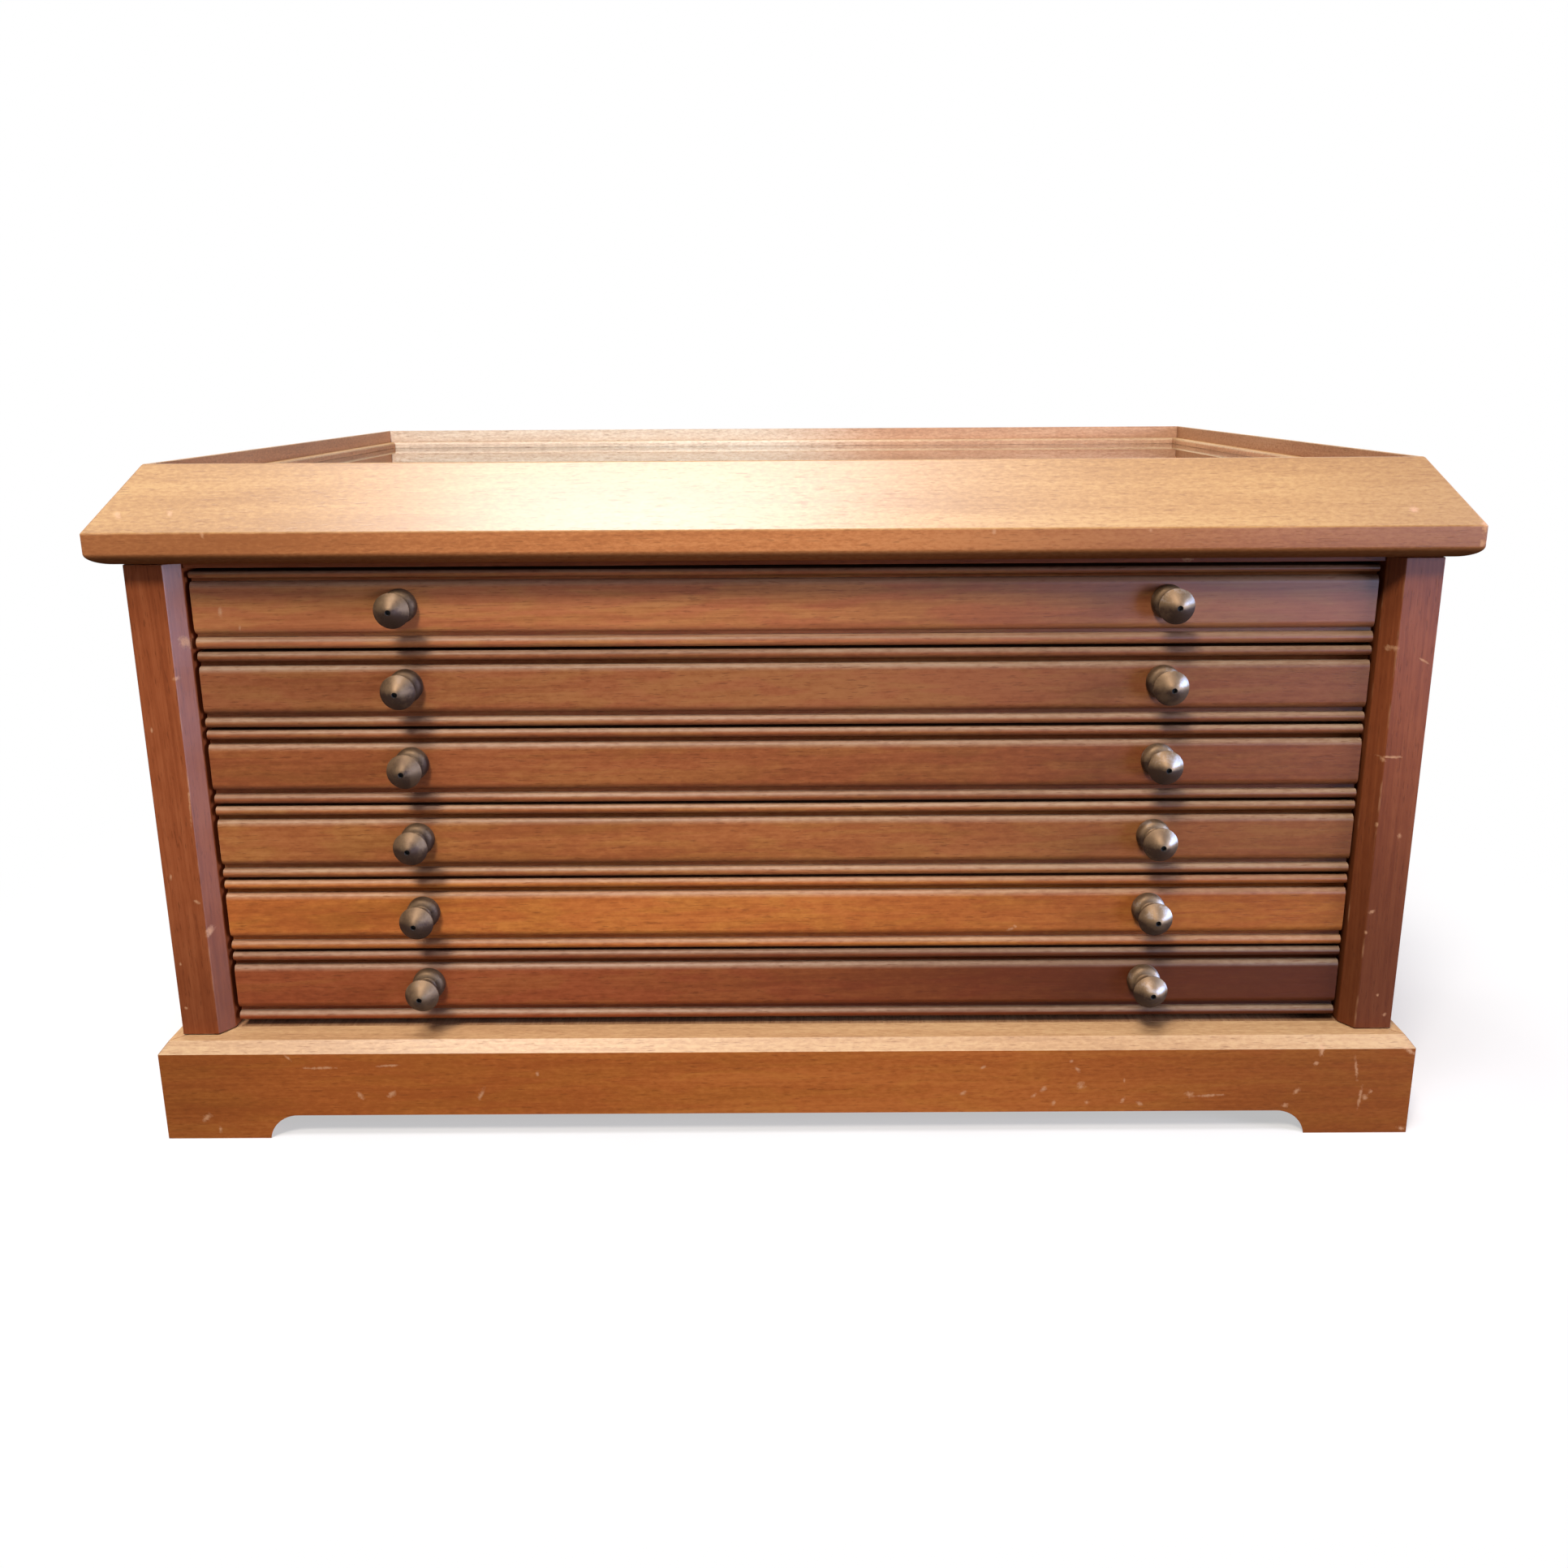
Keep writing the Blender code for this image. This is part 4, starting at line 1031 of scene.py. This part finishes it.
def frame_rails(stem, section, back_section):
    """Four mitred rails in the places of the stem's nodes."""
    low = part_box(f"{stem}_left")[0]
    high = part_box(f"{stem}_right")[1]
    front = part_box(f"{stem}_front")[0].y
    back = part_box(f"{stem}_back")[1].y
    half_width = high.x
    width = 2 * half_width
    depth = back - front
    places = {
        "front": (section, (-half_width, front, low.z), X_AXIS, Y_AXIS, width),
        "back": (back_section, (-half_width, back, low.z), X_AXIS, -Y_AXIS, width),
        "left": (section, (-half_width, front, low.z), Y_AXIS, X_AXIS, depth),
        "right": (section, (half_width, front, low.z), Y_AXIS, -X_AXIS, depth),
    }
    rails = {}
    for side, (outline, corner, along, inward, length) in places.items():
        rails[side] = mitred_rail(f"{stem}_{side}_worked", outline, corner, along, inward, length)
    return rails


def mark_well_light(piece, side, inward):
    """Marks the faces that look into the display well, which get painted light."""
    strength = WELL_LIGHT_SIDES[side]
    mark_faces(piece, "painted_well_light", lambda face: strength * leans(face, inward, WELL_LIGHT_LEAN))


def make_lid(finishes):
    """Mitred rails, cut for the hinge leaves, with glazing beads round the glass."""
    inwards = {"front": Y_AXIS, "back": -Y_AXIS, "left": X_AXIS, "right": -X_AXIS}
    rails = frame_rails("lid_rail", lid_section(True), lid_section(False))
    back_low, back_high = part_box("lid_rail_back")
    all_round = Vector((FIT, FIT, FIT))
    ovolo = (OVOLO_WIDTH, OVOLO_HEIGHT)
    for label, side in SIDES:
        low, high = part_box(f"hinge_{label}_moving_leaf")
        cut_away(rails["back"], box_between("seat", low - all_round, high + all_round))
        corner = Vector((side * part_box("lid_rail_right")[1].x, back_high.y, back_low.z))
        round_edge = arc(ovolo, ovolo, 270, 180, MOULDING_STEPS)
        waste = [(-FIT, OVOLO_HEIGHT), (-FIT, -FIT), (OVOLO_WIDTH, -FIT), *round_edge]
        points = [corner - X_AXIS * side * x + Z_AXIS * z + Y_AXIS * FIT for x, z in waste]
        cut_away(rails["back"], extruded("run_out", points, Y_AXIS * -RUN_OUT))
    for side, rail in rails.items():
        soften(rail, ARRIS)
        mark_faces(rail, "polish", lambda face: leans(face, Z_AXIS, LID_POLISHED_LEAN))
        inward = inwards[side]

        # Painted shade under the lid and on the faces of the well.
        def shade_share(face):
            under = min(UNDERSIDE_SHADE_MOST, -UNDERSIDE_SHADE * face.normal.z)
            return WELL_SHADE[side] if leans(face, inward, WELL_SHADE_LEAN) else max(0.0, under)

        mark_faces(rail, "painted_shade", shade_share)
        mark_well_light(rail, side, inward)
        hand_over(rail, finishes["lid_" + side], "lid", "lid_wood", f"lid_rail_{side}")
    beads = frame_rails("glazing_bead", bead_section(), bead_section())
    for side, bead in beads.items():
        soften(bead, BEAD_ARRIS, segments=1)
        mark_well_light(bead, side, inwards[side])
        hand_over(bead, finishes["lid_" + side], "lid", "lid_wood", f"glazing_bead_{side}")
    paint(frame["nodes"]["lid_glass"], finishes["glass"])


def make_felt(finish):
    """The lining of the display well, laid on the top board, with soft edges."""
    low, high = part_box("well_felt")
    felt = box_between("well_lining", low, high)
    soften(felt, (high.z - low.z) * FELT_ROUND, segments=FELT_ROUND_STEPS)
    hand_over(felt, finish, "carcass", "felt", "well_felt")


def arch_points(half_length, corner, along):
    """The space between two feet, with round upper corners that end at the floor."""
    below = ARCH_RADIUS - ARCH_HEIGHT
    reach = math.sqrt(ARCH_RADIUS**2 - below**2)
    start = 180 - math.degrees(math.asin(below / ARCH_RADIUS))
    left = arc((reach - half_length, -below), (ARCH_RADIUS, ARCH_RADIUS), start, 90, ARCH_STEPS)
    right = [(-x, z) for x, z in reversed(left)]
    outline = [(-half_length, -FIT), *left, *right, (half_length, -FIT)]
    return [corner + along * x + Z_AXIS * z for x, z in outline]


def undercut_arch(half_length, corner, along, travel):
    """The solid between two feet, wider behind, so that the feet are cut back."""
    tool = extruded("arch", arch_points(half_length, corner, along), travel)
    stretch = Vector((1, 1, 1)) + along * (ARCH_UNDERCUT / half_length)
    depth = travel.normalized()
    far = depth.dot(corner) + travel.length / 2
    bpy.ops.object.mode_set(mode="EDIT")
    bpy.ops.mesh.select_all(action="DESELECT")
    bpy.ops.object.mode_set(mode="OBJECT")
    for vertex in tool.data.vertices:
        vertex.select = depth.dot(vertex.co) > far
    bpy.ops.object.mode_set(mode="EDIT")
    bpy.ops.transform.resize(value=stretch, center_override=corner + travel)
    bpy.ops.object.mode_set(mode="OBJECT")
    return tool


def make_plinth(finishes):
    """Mitred rails, arched between the feet."""
    rails = frame_rails("plinth", plinth_section(True), plinth_section(False))
    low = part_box("plinth_left")[0]
    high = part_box("plinth_right")[1]
    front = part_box("plinth_front")[0].y
    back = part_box("plinth_back")[1].y
    half_width = high.x
    middle = (front + back) / 2
    for _, at in SIDES:
        corner = Vector((at * half_width, back + FIT, high.z))
        waste = [
            (-FIT, FIT),
            (-FIT, -PLINTH_CHAMFER_DROP),
            (0, -PLINTH_CHAMFER_DROP),
            (PLINTH_CHAMFER_RUN, 0),
            (PLINTH_CHAMFER_RUN, FIT),
        ]
        points = [corner - X_AXIS * at * x + Z_AXIS * z for x, z in waste]
        cut_away(rails["back"], extruded("run_out", points, Y_AXIS * -RUN_OUT))
    past = PLINTH_THICKNESS + 2 * FIT
    arches = {
        "front": (half_width - FOOT_WIDTH, Vector((0, front - FIT, 0)), X_AXIS, Y_AXIS),
        "back": (half_width - FOOT_WIDTH, Vector((0, back + FIT, 0)), X_AXIS, -Y_AXIS),
        "left": ((back - front) / 2 - FOOT_WIDTH, Vector((low.x - FIT, middle, 0)), Y_AXIS, X_AXIS),
        "right": ((back - front) / 2 - FOOT_WIDTH, Vector((high.x + FIT, middle, 0)), Y_AXIS, -X_AXIS),
    }
    for side, (half_length, corner, along, inward) in arches.items():
        tool = undercut_arch(half_length, corner, along, inward * past)
        cut_away(rails[side], tool)
        soften(rails[side], ARRIS)
        mark_faces(rails[side], "polish", lambda face: leans(face, Z_AXIS, *PLINTH_CHAMFER_LEAN))
        hand_over(rails[side], finishes["plinth_" + side], "carcass", "plinth_wood", f"plinth_{side}")


def make_stiles(finishes):
    """Corner posts with a wide chamfer beside the drawers."""
    drawer_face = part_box("drawer_1_front")[0].y
    for label, side in SIDES:
        low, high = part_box(f"{label}_stile")
        outer, inner = (low.x, high.x) if side < 0 else (high.x, low.x)
        outline = [
            (outer, low.y),
            (inner + side * STILE_CHAMFER, low.y),
            (inner, drawer_face),
            (inner, high.y),
            (outer, high.y),
        ]
        post = extruded(f"{label}_post", [(x, y, low.z) for x, y in outline], Z_AXIS * (high.z - low.z))
        soften(post, ARRIS)

        def is_chamfer(face):
            return leans(face, X_AXIS * -side, *STILE_CHAMFER_LEAN)

        mark_faces(post, "polish", is_chamfer)
        # Painted shade on the left chamfer.
        mark_faces(post, "painted_shade", lambda face: CHAMFER_SHADE[label] * is_chamfer(face))
        hand_over(post, finishes[f"{label}_stile"], "carcass", "carcass_wood", f"{label}_stile")


def make_boards(finishes):
    """Side panels, back panel and top rail with eased edges."""
    for node, width in PANEL_EDGES.items():
        panel = node_copy(node, f"{node}_worked")
        soften(panel, width)
        hand_over(panel, finishes[node], "carcass", "carcass_wood", node)


def moulded_front(name, node, upper, lower, bead_shade=0.0):
    """A drawer front with its mouldings and two holes for the knobs."""
    low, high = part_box(node)
    section = drawer_section(high.z - low.z, high.y - low.y, upper, lower)
    points = [(low.x, low.y + y, low.z + z) for y, z in section]
    front = extruded(name, points, X_AXIS * (high.x - low.x))
    knob_low, knob_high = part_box(node.replace("front", "knob_left"))
    knob_height = (knob_low.z + knob_high.z) / 2
    bore = KNOB_SHANK + FIT
    bore_length = 2 * (KNOB_SHANK_LENGTH + FIT)
    for _, side in SIDES:
        at = (side * abs(knob_low.x + knob_high.x) / 2, low.y, knob_height)
        cut_away(front, cylinder_at(at, bore, bore_length, KNOB_STEPS, turn=90))
    soften(front, FINE_ARRIS)
    middle = (low.z + high.z) / 2

    # Painted shade in the gaps between fronts, in the quirks and on the first front's upper bead.
    def shade_share(face):
        depth = face.center.y - low.y
        if depth > QUIRK_DEPTH + FIT:
            return EDGE_SHADE if abs(face.normal.z) > EDGE_LEAN else 0.0
        if depth < BEAD / 2 + FIT:
            return bead_shade if face.center.z > high.z - upper[0] else 0.0
        return UPPER_QUIRK_SHADE if face.center.z > middle else LOWER_QUIRK_SHADE

    mark_faces(front, "painted_shade", shade_share)
    return front


def make_drawer_fronts(finishes):
    """The first front has mouldings of its own, and the others are copies of the second."""
    first = moulded_front(
        "drawer_1_moulded_front", "drawer_1_front", FIRST_UPPER, FIRST_LOWER, bead_shade=FIRST_BEAD_SHADE
    )
    second = moulded_front("drawer_2_moulded_front", "drawer_2_front", (BEAD, QUIRK), (BEAD, QUIRK))
    fronts = {1: first, 2: second}
    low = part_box("drawer_2_front")[0]
    for number in DRAWERS:
        node = f"drawer_{number}_front"
        if number not in fronts:
            fronts[number] = copied(second, f"drawer_{number}_moulded_front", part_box(node)[0] - low)
        hand_over(fronts[number], finishes[f"drawer_{number}"], f"drawer_{number}", "drawer_wood", node)


def is_tip_hole(place):
    """Whether this place, on a knob that points up, lies in the hole in its tip."""
    return math.hypot(place.x, place.y) < KNOB_TIP and 0 < place.z < KNOB_LENGTH - KNOB_TIP_LIP / 2


def make_knobs(finish):
    """One knob is turned, and copied to each place."""
    first = turned("turned_knob", knob_profile(), KNOB_STEPS)
    # Painted shade in the hole in the tip.
    mark_faces(first, "painted_shade", lambda face: float(is_tip_hole(face.center)))
    pick(first)
    bpy.ops.object.shade_smooth_by_angle(angle=math.radians(KNOB_SMOOTH_ANGLE))
    first.rotation_euler = (math.radians(90), 0, 0)
    settle()
    spread = KNOB_LIGHT_ABOVE - KNOB_SHADE_BELOW
    for number in DRAWERS:
        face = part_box(f"drawer_{number}_front")[0].y - FIT
        for label, _ in SIDES:
            node = f"drawer_{number}_knob_{label}"
            low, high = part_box(node)
            place = Vector(((low.x + high.x) / 2, face, (low.z + high.z) / 2))
            knob = copied(first, f"{node}_turned", place)
            # Painted shade below and a painted highlight above, stronger or weaker in a painted glint wedge
            # on the right.
            wear_and_painted_light, glint = KNOB_PAINTED_LIGHT[label]

            def painted_knob_light(corner):
                aside = corner - place
                above = (aside.z / KNOB_HEAD - KNOB_SHADE_BELOW) / spread
                angle = math.degrees(math.atan2(aside.z, aside.x))
                wedge = max(0.0, 1 - abs(angle - KNOB_GLINT_ANGLE) / KNOB_GLINT_SPREAD)
                return max(0.0, min(1.0, above)) * wear_and_painted_light * (1 + glint * wedge)

            mark_corners(knob, "painted_knob_light", painted_knob_light)
            hand_over(knob, finish, f"drawer_{number}", "antique_brass", node)
    bpy.data.objects.remove(first)


def make_tray(number, finish):
    """Two grooved sides, a back between them and a bottom, with fine joint lines."""
    low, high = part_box(f"drawer_{number}_tray")
    groove_low = (low.z + high.z - GROOVE_HEIGHT) / 2
    length = Y_AXIS * (high.y - low.y)
    boards = []
    for label, side in SIDES:
        outer = side * high.x
        inner = outer - side * TRAY_SIDE
        floor = outer - side * GROOVE_DEPTH
        outline = [
            (outer, low.z),
            (outer, groove_low),
            (floor, groove_low),
            (floor, groove_low + GROOVE_HEIGHT),
            (outer, groove_low + GROOVE_HEIGHT),
            (outer, high.z),
            (inner, high.z),
            (inner, low.z),
        ]
        boards.append(extruded(f"tray_{label}", [(x, low.y, z) for x, z in outline], length))
    inside = high.x - TRAY_SIDE
    back = high.y - TRAY_BACK
    boards.append(box_between("tray_back", (-inside, back, low.z), (inside, high.y, high.z)))
    boards.append(box_between("tray_bottom", (-inside, low.y, low.z), (inside, back, low.z + TRAY_BOTTOM)))
    for board in boards:
        soften(board, ARRIS)
    tray = joined(f"drawer_{number}_jointed_tray", boards)
    hand_over(tray, finish, f"drawer_{number}", "tray_wood", f"drawer_{number}_tray")


def pocket_centres(low, high, diameter):
    """As many rows and columns of pockets as fit, evenly spaced."""
    width = high.x - low.x
    depth = high.y - low.y
    columns = int((width - POCKET_WEB) / (diameter + POCKET_WEB))
    rows = int((depth - POCKET_WEB) / (diameter + POCKET_WEB))
    for row in range(rows):
        for column in range(columns):
            yield low.x + width * (column + 0.5) / columns, low.y + depth * (row + 0.5) / rows


def make_coin_board(number, diameter, finish):
    """A board with round, eased pockets for the coins."""
    low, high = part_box(f"drawer_{number}_coin_board")
    board = box_between(f"drawer_{number}_pocketed_board", low, high)
    pockets = []
    for x, y in pocket_centres(low, high, diameter):
        pockets.append(cylinder_at((x, y, high.z), diameter / 2, 2 * POCKET_DEPTH, POCKET_STEPS))
    cut_away(board, joined("pockets", pockets))
    soften(board, ARRIS)
    hand_over(board, finish, f"drawer_{number}", "coin_board_wood", f"drawer_{number}_coin_board")


def make_screw():
    """A countersunk screw that points down, its slotted head level with the floor."""
    profile = [
        (0, 0),
        (SCREW_HEAD, 0),
        (SCREW_SHANK, -SCREW_HEAD_DEPTH),
        (SCREW_SHANK, -SCREW_SHANK_LENGTH),
        (0, -SCREW_LENGTH),
    ]
    screw = turned("hinge_screw", profile, SCREW_STEPS)
    reach = Vector((2 * SCREW_HEAD, SCREW_SLOT / 2, SCREW_SLOT_DEPTH))
    cut_away(screw, box_between("screw_slot", -reach, reach))
    pick(screw)
    bpy.ops.object.shade_smooth_by_angle(angle=math.radians(SCREW_SMOOTH_ANGLE))
    return screw


def make_sink():
    """The countersunk hole for a screw, right through a leaf."""
    head = SCREW_HEAD + SCREW_PLAY
    shank = SCREW_SHANK + SCREW_PLAY
    profile = [
        (0, SCREW_PLAY),
        (head, SCREW_PLAY),
        (head, 0),
        (shank, -SCREW_HEAD_DEPTH),
        (shank, -SCREW_SHANK_LENGTH),
        (0, -SCREW_SHANK_LENGTH),
    ]
    return turned("screw_sink", profile, SCREW_STEPS)


def make_hinges(finish):
    """Leaves with countersunk holes, three screws in each, and the pins."""
    screw = make_screw()
    sink = make_sink()
    lid_screw = turned_over(screw, "lid_screw")
    lid_sink = turned_over(sink, "lid_sink")
    kinds = {
        "fixed_leaf": ("carcass", screw, sink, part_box("back_panel")[1].z),
        "moving_leaf": ("lid", lid_screw, lid_sink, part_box("lid_rail_back")[0].z),
    }
    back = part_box("back_panel")[1].y
    for label, _ in SIDES:
        for part, (body, fastener, hole, seam) in kinds.items():
            node = f"hinge_{label}_{part}"
            low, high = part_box(node)
            middle = Vector(((low.x + high.x) / 2, (low.y + back) / 2, seam))
            places = [middle + X_AXIS * SCREW_SPACING * step for step in (-1, 0, 1)]
            leaf = node_copy(node, f"{node}_worked")
            cut_away(leaf, joined("sinks", [copied(hole, "sink", place) for place in places]))
            soften(leaf, FINE_ARRIS)
            hand_over(leaf, finish, body, "hinge_brass", node)
            screws = joined(f"{node}_screws", [copied(fastener, "screw", place) for place in places])
            hand_over(screws, finish, body, "hinge_brass")
        pin = node_copy(f"hinge_{label}_pin", f"hinge_{label}_pin_worked")
        soften(pin, FINE_ARRIS)
        hand_over(pin, finish, "carcass", "hinge_brass", f"hinge_{label}_pin")
    for _, fastener, hole, _ in kinds.values():
        bpy.data.objects.remove(fastener)
        bpy.data.objects.remove(hole)


# Stage: floor, light and camera.


def make_floor():
    """A pale floor that keeps the cabinet's shadow, runs out to white and throws little light back."""
    bpy.ops.object.select_all(action="DESELECT")
    bpy.ops.mesh.primitive_plane_add(size=FLOOR_SIZE)
    floor = bpy.context.object
    floor.name = "floor"
    finish, tree, shader = new_finish("pale_floor")
    coords = object_place(tree)
    pale = ramp(tree, noise(tree, coords, **FLOOR_CLOUDS), FLOOR_TONES)
    bounced = add_node(tree, "LightPath").outputs["Is Diffuse Ray"]
    connect(tree, mixed(tree, bounced, pale, (*FLOOR_BOUNCE, 1)), shader, "Base Color")
    set_evenly(shader, {"Roughness": 0.9, "Specular IOR Level": 0.1})
    mirrored = add_node(tree, "VectorMath", {0: coords}, operation="ABSOLUTE").outputs[0]
    beyond = add_node(tree, "VectorMath", {0: mirrored, 1: cad_box[1]}, operation="SUBTRACT").outputs[0]
    outside = add_node(tree, "VectorMath", {0: beyond, 1: (0, 0, 0)}, operation="MAXIMUM").outputs[0]
    distance = add_node(tree, "VectorMath", {0: outside}, operation="LENGTH").outputs["Value"]
    glow = ranged(tree, distance, 0.0, SHADOW_REACH, FLOOR_GLOW, 1.0)
    white = add_node(tree, "Emission", {"Color": WHITE, "Strength": 1.0})
    share = times(tree, seen_directly(tree), glow)
    mix = add_node(tree, "MixShader", {0: share, 1: shader.outputs[0], 2: white.outputs[0]})
    tree.links.new(mix.outputs[0], tree.nodes["Material Output"].inputs["Surface"])
    paint(floor, finish)


def seen_directly(tree):
    """One for rays that show the background: from the camera, off gloss or through glass."""
    path = add_node(tree, "LightPath")
    seen = maths(tree, "MAXIMUM", path.outputs["Is Camera Ray"], path.outputs["Is Glossy Ray"])
    return maths(tree, "MAXIMUM", seen, path.outputs["Is Transmission Ray"])


def make_world():
    """White to look at, and a dimmer even light on the cabinet."""
    world = bpy.data.worlds.new("studio")
    bpy.context.scene.world = world
    world.use_nodes = True
    tree = world.node_tree
    tree.nodes.clear()
    ambient = add_node(tree, "Background", {"Color": (*AMBIENT, 1), "Strength": AMBIENT_STRENGTH})
    white = add_node(tree, "Background", {"Color": WHITE, "Strength": 1.0})
    mix = add_node(tree, "MixShader", {0: seen_directly(tree), 1: ambient.outputs[0], 2: white.outputs[0]})
    output = add_node(tree, "OutputWorld")
    tree.links.new(mix.outputs[0], output.inputs["Surface"])


def add_lamp(name, place, target, size, watts, colour, only_gloss=False, no_gloss=False):
    """A rectangular soft lamp, turned to its target; some only show as a reflection, and some never do."""
    data = bpy.data.lights.new(name, "AREA")
    data.shape = "RECTANGLE"
    data.size, data.size_y = size
    data.energy = watts
    data.color = colour
    lamp = bpy.data.objects.new(name, data)
    lamp.location = place
    lamp.rotation_euler = (Vector(target) - Vector(place)).to_track_quat("-Z", "Y").to_euler()
    lamp.visible_diffuse = not only_gloss
    lamp.visible_glossy = not no_gloss
    lamp.visible_transmission = not no_gloss
    bpy.context.scene.collection.objects.link(lamp)


def make_light():
    """A warm key from the front left, a lamp overhead, cool daylight from the right and a back light."""
    middle = (0, -0.1, 0.12)
    right_field = (0.15, -0.15, 0.17)
    add_lamp("key", (-0.45, -1.38, 1.65), middle, (0.36, 0.36), 30.5, WARM)
    add_lamp("overhead", (-0.14, -0.60, 1.45), middle, (0.44, 0.40), 14.0, NEUTRAL)
    add_lamp("side_fill", (1.40, -0.75, 0.34), middle, (0.50, 0.50), 15.0, DAYLIGHT)
    add_lamp("window", (1.28, -0.26, 0.50), middle, (0.56, 1.00), 36.0, COOL, only_gloss=True)
    add_lamp("window_glow", (0.80, -1.25, 0.22), right_field, (0.55, 0.42), 16.0, COOL, only_gloss=True)
    add_lamp("back_fill", (-0.70, 1.70, 1.10), middle, (0.90, 0.70), 26.0, WARM, no_gloss=True)


def make_camera():
    """The camera, with the photograph's place, turn and lens."""
    data = bpy.data.cameras.new("photo_camera")
    data.lens = CAMERA_LENS_MM
    data.sensor_width = SENSOR_MM
    data.sensor_fit = "HORIZONTAL"
    camera = bpy.data.objects.new("photo_camera", data)
    flat = math.cos(CAMERA_PITCH)
    forward = Vector((math.sin(CAMERA_YAW) * flat, math.cos(CAMERA_YAW) * flat, -math.sin(CAMERA_PITCH)))
    level = Vector((math.cos(CAMERA_YAW), -math.sin(CAMERA_YAW), 0))
    upright = level.cross(forward)
    right = level * math.cos(CAMERA_ROLL) + upright * math.sin(CAMERA_ROLL)
    up = upright * math.cos(CAMERA_ROLL) - level * math.sin(CAMERA_ROLL)
    turn = Matrix((right, up, -forward)).transposed()
    camera.matrix_world = Matrix.Translation(CAMERA_PLACE) @ turn.to_4x4()
    bpy.context.scene.collection.objects.link(camera)
    bpy.context.scene.camera = camera


def carcass_finishes():
    """Side panels, back panel, top rail and corner posts."""
    return {
        "left_side": mahogany("left_side_mahogany", POST_WOOD, "Z", (0.3, 1.2, 0.0)),
        "right_side": mahogany("right_side_mahogany", POST_WOOD, "Z", (2.3, 0.2, 0.4)),
        "back_panel": mahogany("back_mahogany", POST_WOOD, "X", (1.3, 2.2, 0.7)),
        "top_rail": mahogany(
            "top_rail_mahogany", POST_WOOD, "X", (0.1, 0.4, 1.7), specular=0.06, marks=TOP_RAIL_MARKS
        ),
        # The posts get painted shade towards the bottom.
        "left_stile": mahogany(
            "left_post_mahogany", POST_WOOD, "Z", (0.7, 0.1, 0.9), shine=0.62, gloss=0.38, specular=0.05,
            marks=LEFT_POST_MARKS, painted_falloff=LEFT_POST_FALLOFF,
        ),
        "right_stile": mahogany(
            "right_post_mahogany", RIGHT_POST_WOOD, "Z", (1.9, 0.6, 0.2), gloss=0.38, specular=0.11,
            marks=RIGHT_POST_MARKS, painted_falloff=RIGHT_POST_FALLOFF,
        ),
    }


def lid_and_plinth_finishes():
    """Each rail has its own grain, and the front ones carry painted falloff of light and are marked."""
    finishes = {"glass": plate_glass("display_glass")}
    # The front rails get painted falloff of light.
    lid_front = {"painted_falloff": LID_FALLOFF, "pale_falloff": LID_SLOPE_FALLOFF, "marks": LID_MARKS}
    plinth_front = {"painted_falloff": PLINTH_FALLOFF, "marks": PLINTH_MARKS}
    for number, (side, along) in enumerate((("front", "X"), ("back", "X"), ("left", "Y"), ("right", "Y"))):
        shift = (0.37 * number, 0.21 * number, 0.0)
        in_front = side == "front"
        finishes["lid_" + side] = mahogany(
            f"lid_{side}_mahogany", LID_WOOD, along, shift, faded_and_sheen=1.0, faded_and_sheen_wood=LID_SLOPE_WOOD,
            shine=0.6, gloss=0.34, specular=0.12, fibre=0.18, fleck=0.4, speckle=1300, depth=0.85,
            painted_well_light=True,
            **(lid_front if in_front else {}),
        )
        finishes["plinth_" + side] = mahogany(
            f"plinth_{side}_mahogany", PLINTH_WOOD, along, shift, faded_and_sheen=0.85, shine=0.3, specular=0.07,
            fibre=0.24, fleck=0.4, speckle=1000, depth=0.85, figure=0.35,
            **(plinth_front if in_front else {}),
        )
    return finishes


def drawer_finishes():
    """The first front has more figure and shine than the others, and the last one has painted shade all
    along.
    """
    finishes = {}
    for number in DRAWERS:
        first = number == 1
        # Painted shade towards the ends of each front, and all along the last one.
        painted_falloff = LAST_DRAWER_FALLOFF
        if number in END_FALLOFF:
            left, right = END_FALLOFF[number]
            painted_falloff = (("X", *LEFT_END, left), ("X", *RIGHT_END, right))
        finishes[f"drawer_{number}"] = mahogany(
            f"drawer_{number}_mahogany", DRAWER_WOODS[number], "X", (0.9 * number, 0.31 * number, 0.0),
            faded_and_sheen=0.6, faded_and_sheen_wood=BEAD_WOOD, fibre=0.36 if first else 0.24, speckle=700,
            specular=0.26 if first else 0.13, figure=0.7 if first else 0.5, dulled_by_painted_shade=True,
            marks=FRONT_MARKS.get(number, ()), painted_falloff=painted_falloff,
        )
    return finishes


def main():
    bpy.context.scene.view_settings.view_transform = "Standard"
    finishes = {**carcass_finishes(), **lid_and_plinth_finishes(), **drawer_finishes()}
    make_plinth(finishes)
    make_stiles(finishes)
    make_boards(finishes)
    make_lid(finishes)
    make_felt(wool_felt("red_felt", *FELT_RED))
    make_drawer_fronts(finishes)
    make_knobs(aged_brass("knob_brass", *KNOB_BRASS, gloss=0.55, metallic=0.68, painted_knob_light=KNOB_HIGHLIGHT_TONE))
    make_hinges(aged_brass("dull_hinge_brass", *HINGE_BRASS, gloss=0.34, metallic=1.0))
    tray_finish = bare_wood("tray_wood_waxed", INNER_WOOD, "Y", (0.2, 0.8, 0.1))
    board_finish = bare_wood("coin_board_mahogany", COIN_BOARD_WOOD, "X", (1.2, 0.4, 0.6))
    for number, diameter in zip(DRAWERS, POCKET_DIAMETERS):
        make_tray(number, tray_finish)
        make_coin_board(number, diameter, board_finish)
    inner_finish = bare_wood("inner_wood_plain", INNER_WOOD, "Y", (1.6, 0.3, 0.9))
    for node in ("base_board", "top_board", "left_runner_board", "right_runner_board"):
        paint(frame["nodes"][node], inner_finish)
    make_floor()
    make_world()
    make_light()
    make_camera()


main()
